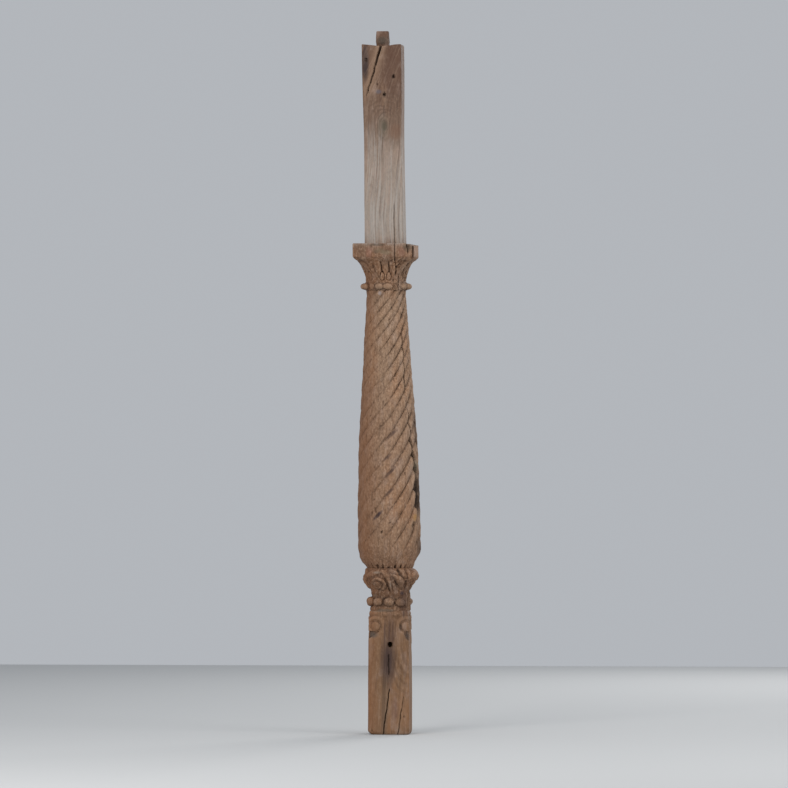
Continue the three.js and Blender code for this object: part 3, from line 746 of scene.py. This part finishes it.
def section_rows(z_values, surface):
    """Positions, hollowness and grain depth of one section's rows. The hollowness darkens the cuts with
    dark dirt and painted shade.
    """
    z = np.repeat(z_values[:, None], COLUMNS, axis=1)
    turn = wrap(np.stack([column_turns(v) for v in z_values]))
    base, relief, *dirt_and_painted_shade = surface(turn, z)
    step = max(0.5, float(np.mean(np.diff(z_values))))
    near = blurred(relief, max(0.6, 3.0 / step), 3.0)
    wide = blurred(relief, max(0.8, 9.0 / step), 9.0)
    # How far a point lies below its neighbours: the material paints it dark, as dirt and as painted shade
    # in the cuts.
    hollow = np.clip((near - relief) * 0.22 + (wide - relief) * 0.08, 0, 1)
    # A section can add more of this darkness: painted shade and dirt in checks, cracks and the gaps between
    # beads.
    for extra in dirt_and_painted_shade:
        hollow = np.maximum(hollow, extra)
    proud = np.clip((relief - near) * 0.4 + (relief - wide) * 0.16, 0, 1)
    x, y, _ = point(turn, base + relief, z)
    return x + lean_at(z), y, z, hollow, proud


def shelf(lower, upper):
    """Flat rings between the last row of one section and the first row of the next."""
    steps = [k / SHELF_RINGS for k in range(1, SHELF_RINGS)]
    return [[a + (b - a) * t for a, b in zip(lower, upper)] for t in steps]


def post_grid():
    """Every row of the surface from the underside to the top of the tenon."""
    rows = []
    for z_values, surface in SECTIONS:
        arrays = section_rows(np.asarray(z_values, dtype=float), surface)
        first = [a[0] for a in arrays]
        if rows:
            step = np.max(np.hypot(first[0] - rows[-1][0], first[1] - rows[-1][1]))
            apart = abs(float(np.mean(first[2] - rows[-1][2])))
            if step > 4 and apart < 0.01:
                rows += shelf(rows[-1], first)
        rows += [[a[i] for a in arrays] for i in range(len(z_values))]
    return [np.stack([row[k] for row in rows]) for k in range(5)]


def worn_details(x, y, z):
    """Wear that crosses the sections: the abacus's right corner, and the shoulders' dip at the tenon."""
    local_x = x - lean_at(z)
    corner = -9 + 0.30 * (ABACUS_HALF - local_x) + 0.02 * (y + ABACUS_HALF)
    corner += 1.2 * ripple((x, y, z), 12, 1, 151)
    on_top = (z > 1365) & (z <= ABACUS_TOP + 0.01) & (corner < 0) & (local_x > 30)
    outside = np.maximum(np.abs(local_x), np.abs(y)) > 57.5
    limit = ABACUS_TOP + corner
    z = np.where(on_top & outside & (z > limit), limit, z)
    near_shoulder = smooth(SHOULDER - 26, SHOULDER, z) * (z < SHOULDER + 0.01)
    dip = 4.5 * fall(8, 50, np.abs(local_x)) + 0.5 * ripple((x, y, z), 30, 1, 152) ** 2
    z -= dip * near_shoulder
    # Nothing stands out of the solid's box.
    sides = zip((x, y), BOX_LOW, BOX_HIGH)
    inside = [np.clip(v, low / MM + 0.15, high / MM - 0.15) for v, low, high in sides]
    return (*inside, np.clip(z, 0.02, HEIGHT - 0.02))


def post_mesh():
    x, y, z, hollow, proud = post_grid()
    x, y, z = worn_details(x, y, z)
    rows, columns = x.shape
    bottom = [0.0, 0.0, float(z[0].min())]
    top = [float(np.mean(x[-1])), float(np.mean(y[-1])), float(z[-1].max())]
    points = np.column_stack([x.ravel(), y.ravel(), z.ravel()])
    points = np.vstack([points, bottom, top]) * MM
    low, high = rows * columns, rows * columns + 1
    i = np.arange(rows - 1)[:, None] * columns
    j = np.arange(columns)[None, :]
    k = (j + 1) % columns
    quads = np.stack([i + j, i + k, i + columns + k, i + columns + j], axis=-1).reshape(-1, 4)
    j, k = j.ravel(), k.ravel()
    last = (rows - 1) * columns
    fans = np.vstack([
        np.column_stack([k, j, np.full(columns, low)]),
        np.column_stack([last + j, last + k, np.full(columns, high)])])
    mesh = bpy.data.meshes.new("post_carved_surface")
    mesh.from_pydata(points.tolist(), [], quads.tolist() + fans.tolist())
    mesh.validate()
    # The hollow layer carries dirt and painted shade for the cuts; the proud layer carries the wear of the
    # crests.
    for name, values in (("hollow", hollow), ("proud", proud)):
        layer = mesh.attributes.new(name, "FLOAT", "POINT")
        layer.data.foreach_set("value", np.concatenate([values.ravel(), [0, 0]]).astype(np.float32))
    return mesh


def lighter(piece):
    """Brings the mesh under the limit of triangles: flat places lose the most."""
    faces = sum(len(p.vertices) - 2 for p in piece.data.polygons)
    modifier = piece.modifiers.new("fewer", "DECIMATE")
    modifier.ratio = min(1.0, TRIANGLES / faces)
    bpy.context.view_layer.objects.active = piece
    piece.select_set(True)
    bpy.ops.object.modifier_apply(modifier=modifier.name)


def build_post():
    piece = bpy.data.objects.new("post_carved", post_mesh())
    bpy.context.scene.collection.objects.link(piece)
    lighter(piece)
    mesh = piece.data
    mesh.polygons.foreach_set("use_smooth", np.ones(len(mesh.polygons), dtype=bool))
    mesh.set_sharp_from_angle(angle=math.radians(48))
    mesh.materials.append(weathered_wood())
    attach(piece, "root")
    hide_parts(NODE)
    return piece


# Material

class Nodes:
    """Short ways to add shader nodes."""

    def __init__(self, material):
        self.tree = material.node_tree
        self.tree.nodes.clear()

    def add(self, kind, **values):
        node = self.tree.nodes.new(kind)
        for name, value in values.items():
            setattr(node, name, value)
        return node

    def link(self, source, target):
        self.tree.links.new(source, target)

    def put(self, socket, value):
        if isinstance(value, bpy.types.NodeSocket):
            self.link(value, socket)
        else:
            socket.default_value = value

    def math(self, operation, a, b=0.0, clamp=False):
        node = self.add("ShaderNodeMath", operation=operation, use_clamp=clamp)
        self.put(node.inputs[0], a)
        self.put(node.inputs[1], b)
        return node.outputs[0]

    def times(self, a, *others):
        for b in others:
            a = self.math("MULTIPLY", a, b)
        return a

    def plus(self, a, b):
        return self.math("ADD", a, b)

    def minus(self, a, b):
        return self.math("SUBTRACT", a, b)

    def ramp(self, value, low, high, to_low=0.0, to_high=1.0):
        node = self.add("ShaderNodeMapRange", interpolation_type="SMOOTHSTEP")
        for socket, part in zip(node.inputs, (value, low, high, to_low, to_high)):
            self.put(socket, part)
        return node.outputs[0]

    def mix(self, factor, a, b, blend="MIX"):
        node = self.add("ShaderNodeMix", data_type="RGBA", blend_type=blend)
        self.put(node.inputs["Factor"], factor)
        self.put(node.inputs[6], a)
        self.put(node.inputs[7], b)
        return node.outputs[2]

    def tint(self, factor, colour, share, shade):
        """Moves a colour a share of the way to a shade, as far as the factor says."""
        return self.mix(factor, colour, self.mix(share, colour, tone(*shade)))

    def noise(self, vector, across, up, detail, rough):
        """Noise with its own scale up the post."""
        mapping = self.add("ShaderNodeMapping")
        self.link(vector, mapping.inputs["Vector"])
        mapping.inputs["Scale"].default_value = (across, across, up)
        noise = self.add("ShaderNodeTexNoise")
        self.link(mapping.outputs["Vector"], noise.inputs["Vector"])
        for name, value in (("Scale", 1.0), ("Detail", detail), ("Roughness", rough)):
            noise.inputs[name].default_value = value
        return noise.outputs["Fac"]


def tone(red, green, blue):
    """A colour given as display values, in the linear values that shaders take."""
    linear = [((c / 255 + 0.055) / 1.055) ** 2.4 for c in (red, green, blue)]
    return (*linear, 1.0)


# Tones of the bare wood by height in metres: the colour there, as display values
ZONES = [
    (0.00, (118, 88, 63)), (0.16, (116, 87, 62)), (0.33, (116, 85, 60)), (0.40, (98, 69, 48)),
    (0.47, (110, 78, 56)), (0.495, (127, 96, 73)), (0.54, (127, 98, 75)), (0.80, (130, 102, 80)),
    (1.10, (136, 110, 88)), (1.24, (134, 109, 88)), (1.29, (106, 79, 58)), (1.38, (103, 76, 57)),
    (1.42, (134, 124, 115)), (1.60, (133, 120, 109)), (1.73, (106, 86, 72)), (1.84, (89, 66, 52)),
    (1.95, (85, 62, 48))]


def zone_colour(n, height):
    ramp = n.add("ShaderNodeValToRGB")
    n.link(n.ramp(height, 0.0, 2.0), ramp.inputs[0])
    stops = ramp.color_ramp.elements
    while len(stops) < len(ZONES):
        stops.new(0.5)
    for stop, (z, colour) in zip(stops, ZONES):
        t = z / 2.0
        stop.position = t * t * (3 - 2 * t)
        stop.color = tone(*colour)
    return ramp.outputs[0]


def spot(n, parts, centre, size, slope=0.0):
    """1 at a place and 0 beyond its size, in millimetres. It leans to the right by the slope."""
    x, y, z = parts
    if slope:
        x = n.minus(x, n.times(n.minus(z, centre[2] * MM), slope))
    total = None
    for value, middle, reach in zip((x, y, z), centre, size):
        off = n.math("DIVIDE", n.minus(value, middle * MM), reach * MM)
        square = n.times(off, off)
        total = square if total is None else n.plus(total, square)
    return n.ramp(total, 1.0, 0.0)


def contours(n, parts, centre, stretch, spacing, wander):
    """Growth lines round a place on the front, in millimetres, longer up the post by stretch."""
    x, _, z = parts
    across = n.minus(x, centre[0] * MM)
    up = n.math("DIVIDE", n.minus(z, centre[1] * MM), stretch)
    squares = n.plus(n.times(across, across), n.times(up, up))
    turns = n.times(n.math("SQRT", squares), 2 * math.pi / (spacing * MM))
    wave = n.math("SINE", n.plus(turns, n.times(wander, 24.0)))
    return n.ramp(wave, -0.4, 1.0)


def wood_noises(n, place, z):
    """Every noise of the wood. The streaks, lines and fine grain run up the post and wander."""
    drift = n.noise(place, 5, 1.6, 2.0, 0.55)
    leaning = n.ramp(z, 1.76, 2.04, 0.0, -0.085)  # the grain leans to the right over the knot
    push = n.add("ShaderNodeCombineXYZ")
    n.link(n.plus(n.ramp(drift, 0.2, 0.8, -0.02, 0.02), leaning), push.inputs[0])
    bend = n.add("ShaderNodeVectorMath", operation="ADD")
    n.link(place, bend.inputs[0])
    n.link(push.outputs[0], bend.inputs[1])
    bent = bend.outputs[0]
    return {
        "drift": drift,
        "streaks": n.noise(bent, 170, 6, 4.0, 0.65),
        "fine": n.noise(bent, 560, 24, 3.0, 0.6),
        "lines": n.noise(bent, 95, 1.7, 2.0, 0.5),
        "pale": n.noise(bent, 110, 3.2, 4.0, 0.65),
        "flecks": n.noise(place, 230, 120, 3.0, 0.65),
        "patches": n.noise(place, 14, 5, 3.0, 0.6),
        "blotches": n.noise(place, 45, 22, 3.0, 0.6),
        "swirl": n.noise(place, 26, 15, 2.0, 0.5)}


# Weathering of the bare wood: noise, its low and high, strength, share of the shade, shade
WEATHERING = [
    ("blotches", 0.48, 0.72, 0.65, 0.6, (148, 128, 116)),
    ("blotches", 0.47, 0.28, 0.6, 0.5, (76, 52, 38)),
    ("streaks", 0.5, 0.72, 0.6, 0.5, (80, 56, 42)),
    ("streaks", 0.46, 0.3, 0.4, 0.5, (166, 146, 128)),
    ("fine", 0.5, 0.8, 0.4, 0.5, (170, 148, 130))]
# Specks of the carved parts: low and high of the flecks, strength, shade
SPECKS = [(0.5, 0.66, 0.9, (74, 52, 40)), (0.48, 0.34, 0.7, (178, 150, 128))]


def bare_colour(n, parts, noises, rough_parts):
    """The colour by height, whose borders wander, with blotches, streaks, thin lines and specks."""
    x, _, z = parts
    plain = n.ramp(z, 1.385, 1.40)  # 1 on the upper shaft
    height = n.plus(z, n.ramp(noises["patches"], 0.2, 0.8, -0.02, 0.02))
    colour = zone_colour(n, height)
    orange = n.times(n.ramp(noises["patches"], 0.44, 0.7), n.ramp(plain, 0, 1, 0.75, 0.2))
    colour = n.tint(orange, colour, 0.5, (146, 100, 64))
    for name, low, high, strength, share, shade in WEATHERING:
        colour = n.tint(n.ramp(noises[name], low, high, 0.0, strength), colour, share, shade)
    lines = noises["lines"]
    thin = n.times(n.ramp(lines, 0.565, 0.60), n.ramp(lines, 0.64, 0.605))
    colour = n.mix(n.times(thin, n.ramp(plain, 0, 1, 0.3, 0.55)), colour, tone(70, 54, 46))
    # The upper shaft is bleached in long pale streaks.
    sun = n.times(n.ramp(noises["pale"], 0.45, 0.62, 0.0, 0.75), plain)
    sun = n.times(sun, n.ramp(height, 1.76, 1.62), n.ramp(x, -0.067, -0.054, 0.15, 1.0))
    colour = n.mix(sun, colour, tone(151, 145, 139))
    for low, high, strength, shade in SPECKS:
        factor = n.times(n.ramp(noises["flecks"], low, high, 0.0, strength), rough_parts)
        colour = n.tint(factor, colour, 0.5, shade)
    return colour


def growth_lines(n, parts, noises, colour):
    """Lines round the knot, and the arched grain of the foot."""
    whirl = contours(n, parts, (-12, 1727), 1.5, 10, noises["swirl"])
    near_knot = spot(n, parts, (-10, -56, 1760), (85, 30, 100))
    broken = n.ramp(noises["blotches"], 0.3, 0.65, 0.1, 0.6)
    colour = n.mix(n.times(whirl, near_knot, broken), colour, tone(80, 62, 50))
    wander = n.plus(noises["drift"], n.times(noises["patches"], 0.5))
    arches = contours(n, parts, (74, 250), 2.0, 15, wander)
    at_foot = spot(n, parts, (34, -59, 190), (40, 30, 110))
    return n.mix(n.times(arches, at_foot, 0.4), colour, tone(82, 60, 44))


def wear_dirt_and_painted_shade(n, parts, noises, colour):
    """The left side keeps a warmer tone with painted shade, worn crests are paler, and cuts hold dark dirt
    and painted shade.
    """
    x, _, z = parts
    hollow = n.add("ShaderNodeAttribute", attribute_name="hollow").outputs["Fac"]
    proud = n.add("ShaderNodeAttribute", attribute_name="proud").outputs["Fac"]
    # A warmer tone and painted shade on the left side, below the capital
    warm_tone_and_painted_shade = n.times(n.ramp(x, -0.015, -0.075), n.ramp(z, 1.37, 1.30))
    colour = n.tint(n.times(warm_tone_and_painted_shade, 0.75), colour, 0.75, (118, 76, 48))
    worn = n.times(proud, n.ramp(z, 0.47, 0.50, 0.25, 0.5))
    colour = n.tint(worn, colour, 0.6, (168, 140, 116))
    # Dark dirt and painted shade in the cuts, broken into patches
    uneven = n.ramp(noises["flecks"], 0.35, 0.65, -0.25, 0.35)
    patchy = n.plus(n.ramp(noises["blotches"], 0.3, 0.62, 1.0, 0.4), uneven)
    return n.tint(n.math("MULTIPLY", hollow, patchy, clamp=True), colour, 0.84, (44, 32, 24))


def weathered_wood():
    material = bpy.data.materials.new("weathered_wood")
    material.use_nodes = True
    n = Nodes(material)
    place = n.add("ShaderNodeTexCoord").outputs["Object"]
    axes = n.add("ShaderNodeSeparateXYZ")
    n.link(place, axes.inputs[0])
    parts = axes.outputs
    z = parts[2]
    noises = wood_noises(n, place, z)
    # The carved parts are rougher than the plain foot and upper shaft.
    rough_parts = n.times(n.ramp(z, 1.40, 1.38, 0.3, 1.0), n.ramp(z, 0.33, 0.36, 0.35, 1.0))
    colour = bare_colour(n, parts, noises, rough_parts)
    colour = growth_lines(n, parts, noises, colour)
    colour = wear_dirt_and_painted_shade(n, parts, noises, colour)
    colour = stains_and_painted_light(n, parts, noises["streaks"], colour)
    shader = n.add("ShaderNodeBsdfPrincipled")
    n.link(colour, shader.inputs["Base Color"])
    n.link(n.ramp(noises["streaks"], 0.3, 0.8, 0.74, 0.9), shader.inputs["Roughness"])
    shader.inputs["Specular IOR Level"].default_value = 0.28
    n.link(grain_bump(n, noises, rough_parts), shader.inputs["Normal"])
    output = n.add("ShaderNodeOutputMaterial")
    n.link(shader.outputs[0], output.inputs["Surface"])
    return material


# Stains and painted light and shade: centre and reach in millimetres, colour as display values, strength
STAINS_AND_PAINTED_LIGHT = [
    # The foot: round the slot, up to the buds, down the crack, darker in the hollows under the scrolls'
    # eyes, on the top edge
    ((-1, -59, 215), (15, 12, 62), (42, 30, 33), 0.92),
    ((-2, -59, 205), (29, 14, 100), (66, 50, 44), 0.88),
    ((5, -59, 290), (24, 14, 70), (88, 66, 54), 0.5),
    ((-11, -59, 285), (4, 14, 55), (66, 48, 44), 0.65),
    ((2, -59, 295), (3, 14, 50), (66, 48, 44), 0.6),
    ((12, -59, 285), (4, 14, 55), (70, 50, 42), 0.6),
    ((-11, -59, 80), (13, 12, 110), (82, 66, 52), 0.55),
    ((18, -59, 75), (12, 12, 45), (98, 76, 72), 0.45),
    ((-45, -56, 284), (20, 10, 12), (84, 74, 66), 0.85),
    ((58, -54, 282), (18, 24, 17), (70, 58, 52), 0.9),
    ((34, -56, 306), (6, 10, 15), (60, 46, 38), 0.8),
    ((-20, -54, 353), (50, 12, 6), (92, 86, 76), 0.6),
    ((46, -48, 378), (22, 34, 62), (72, 50, 40), 0.7),
    ((43, -56, 343), (3, 12, 16), (56, 42, 36), 0.75),
    # A painted shadow on the neck at the right, under the band
    ((37, -42, 402), (8, 14, 8), (60, 50, 56), 0.75),
    # The band and the shaft
    ((-48, -45, 394), (16, 24, 9), (112, 112, 104), 0.6),
    # Pale flecks with a painted highlight on the crest of a lobe and on the stem of the band
    ((-33, -70, 461), (14, 20, 5), (136, 128, 118), 0.5),
    ((6, -70, 424), (3, 20, 14), (150, 138, 126), 0.45),
    ((-25, -60, 1254), (7, 20, 9), (152, 146, 148), 0.65),
    # Painted shade in the short check at the right side
    ((78, -8, 870), (30, 24, 70), (60, 46, 38), 0.75),
    # Painted shade at the lower right of the bulb, above the band
    ((84, -12, 533), (16, 34, 40), (58, 42, 32), 0.8),
    ((80, -30, 762), (16, 24, 34), (104, 102, 88), 0.7),
    # Painted shade that makes the long check black inside
    ((84, -8, 684), (30, 37, 84), (44, 36, 30), 0.94),
    ((76, -42, 616), (13, 20, 14), (152, 114, 68), 0.8),
    # Painted shade in the deep pit at the right
    ((70, -50, 594), (9, 14, 8), (46, 28, 22), 0.92),
    # The abacus: painted light makes its right side paler
    ((74.5, 0, 1375), (6, 120, 40), (152, 114, 84), 0.6),
    ((72.5, -87, 1376), (2.8, 8, 26), (50, 36, 28), 0.9),
    ((-30, -87, 1391), (30, 10, 5), (62, 50, 40), 0.7),
    ((56, -87, 1384), (18, 10, 16), (56, 48, 38), 0.75),
    ((-34, -87, 1371), (10, 10, 8), (66, 48, 36), 0.6),
    ((-24, -87, 1374), (18, 12, 10), (114, 104, 84), 0.45),
    ((-4, -87, 1369), (20, 12, 9), (114, 104, 84), 0.45),
    ((-54, -87, 1369), (12, 12, 22), (128, 86, 74), 0.35),
    ((40, -87, 1370), (12, 12, 18), (128, 86, 74), 0.35),
    # The upper shaft: the old nail holes, the knot, and the tenon's foot, with a painted shadow line at the
    # shoulder
    ((-66, -56, 1908), (13, 12, 66), (48, 38, 38), 0.92),
    ((13, -56, 1869), (8, 10, 10), (40, 28, 22), 0.7),
    ((-12, -56, 1818), (8, 10, 12), (40, 30, 24), 0.7),
    ((-29, -56, 1826), (11, 10, 8), (84, 84, 94), 0.65),
    ((-12, -55, 1727), (8, 10, 18), (56, 54, 36), 0.85),
    ((-16, -55, 1727), (20, 12, 45), (90, 82, 70), 0.6),
    ((20, -55, 1712), (28, 12, 30), (104, 74, 56), 0.5),
    ((20, -55, 1890), (50, 12, 105), (80, 57, 46), 0.6),
    ((-20, 0, 1966), (26, 26, 10), (34, 30, 26), 0.8),
    ((-20, 0, 1974), (30, 30, 18), (58, 62, 56), 0.85)]

# Darker patches along the grooves of the front: the same values
GROOVE_SLOPE = 0.9
GROOVE_DARK_PATCHES = [
    ((-29, -88, 623), (9, 24, 19), (56, 44, 49), 0.95),
    ((12, -84, 855), (10, 24, 21), (66, 50, 46), 0.8),
    ((-12, -84, 836), (6, 24, 12), (82, 64, 52), 0.55),
    ((-2, -86, 788), (8, 24, 14), (70, 54, 50), 0.75),
    ((7, -87, 746), (8, 24, 21), (66, 50, 46), 0.8),
    ((4, -88, 689), (8, 24, 18), (70, 54, 48), 0.75),
    ((-18, -78, 1010), (7, 24, 16), (84, 66, 54), 0.5)]


# Lays the stains, and the painted light and shade, over the colour.
def stains_and_painted_light(n, parts, streaks, colour):
    ragged = n.ramp(streaks, 0.25, 0.7, 0.55, 1.1)
    for rows, slope in ((STAINS_AND_PAINTED_LIGHT, 0.0), (GROOVE_DARK_PATCHES, GROOVE_SLOPE)):
        for centre, size, shade, strength in rows:
            amount = n.times(spot(n, parts, centre, size, slope), strength)
            colour = n.mix(n.math("MULTIPLY", amount, ragged, clamp=True), colour, tone(*shade))
    return colour


def bump_layer(n, height, strength, distance, below=None):
    node = n.add("ShaderNodeBump")
    node.inputs["Strength"].default_value = strength
    node.inputs["Distance"].default_value = distance
    n.link(height, node.inputs["Height"])
    if below:
        n.link(below, node.inputs["Normal"])
    return node.outputs[0]


def grain_bump(n, noises, rough_parts):
    pitted = n.times(noises["flecks"], n.times(rough_parts, 0.6))
    coarse = bump_layer(n, n.plus(noises["streaks"], pitted), 0.5, 0.0012)
    return bump_layer(n, noises["fine"], 0.45, 0.0005, coarse)


# Floor, light and camera

def plain_material(name, colour, rough):
    material = bpy.data.materials.new(name)
    material.use_nodes = True
    shader = material.node_tree.nodes["Principled BSDF"]
    shader.inputs["Base Color"].default_value = colour
    shader.inputs["Roughness"].default_value = rough
    return material


FLOOR_HALF = 5.0


def studio():
    """A plain pale floor. The even light of the world is the backdrop, so every side of the post shows."""
    corners = [(x * FLOOR_HALF, y * FLOOR_HALF, 0.0) for x, y in ((-1, -1), (1, -1), (1, 1), (-1, 1))]
    mesh = bpy.data.meshes.new("studio_floor")
    mesh.from_pydata(corners, [], [(0, 1, 2, 3)])
    mesh.materials.append(plain_material("studio_grey", tone(178, 180, 181), 0.9))
    floor = bpy.data.objects.new("studio_floor", mesh)
    bpy.context.scene.collection.objects.link(floor)


def area_light(name, place, target, size, power, colour):
    light = bpy.data.lights.new(name, "AREA")
    light.shape = "RECTANGLE"
    light.size, light.size_y = size
    light.energy = power
    light.color = colour
    holder = bpy.data.objects.new(name, light)
    holder.location = place
    holder.rotation_euler = (Vector(target) - Vector(place)).to_track_quat("-Z", "Y").to_euler()
    holder.visible_camera = False
    bpy.context.scene.collection.objects.link(holder)


def lights():
    area_light("key", (-1.6, -4.2, 2.6), (0, 0, 1.0), (1.8, 2.4), 120, (1.0, 0.97, 0.94))
    area_light("fill", (3.6, -2.2, 1.6), (0, 0, 1.0), (2.5, 3.0), 70, (1.0, 0.98, 0.96))
    area_light("top", (0.0, -0.5, 4.2), (0, 0, 0.8), (3.0, 3.0), 45, (1.0, 1.0, 1.0))
    area_light("back", (1.8, 4.2, 2.6), (0, 0, 0.9), (2.0, 2.4), 90, (1.0, 0.98, 0.96))
    world = bpy.data.worlds.new("studio_world")
    world.use_nodes = True
    sky = world.node_tree.nodes["Background"]
    sky.inputs["Color"].default_value = (0.9, 0.94, 1.0, 1.0)
    sky.inputs["Strength"].default_value = 0.5
    bpy.context.scene.world = world


# Camera: its turn in degrees, and the rest in metres
VIEW_TURN = 4.5
VIEW_DISTANCE = 20.0
VIEW_HEIGHT = 0.9675
VIEW_WIDTH = 2.2437
VIEW_SIDE = 0.011


def camera():
    a = math.radians(VIEW_TURN)
    right = Vector((math.cos(a), math.sin(a), 0))
    back = Vector((math.sin(a), -math.cos(a), 0))
    lens = bpy.data.cameras.new("view")
    lens.sensor_width = 36
    lens.lens = 36 * VIEW_DISTANCE / VIEW_WIDTH
    holder = bpy.data.objects.new("view", lens)
    holder.location = back * VIEW_DISTANCE + right * VIEW_SIDE + Vector((0, 0, VIEW_HEIGHT))
    holder.rotation_euler = (math.radians(90), 0, a)
    bpy.context.scene.collection.objects.link(holder)
    bpy.context.scene.camera = holder


camera()
studio()
lights()
build_post()
bpy.context.scene.view_settings.view_transform = "Standard"
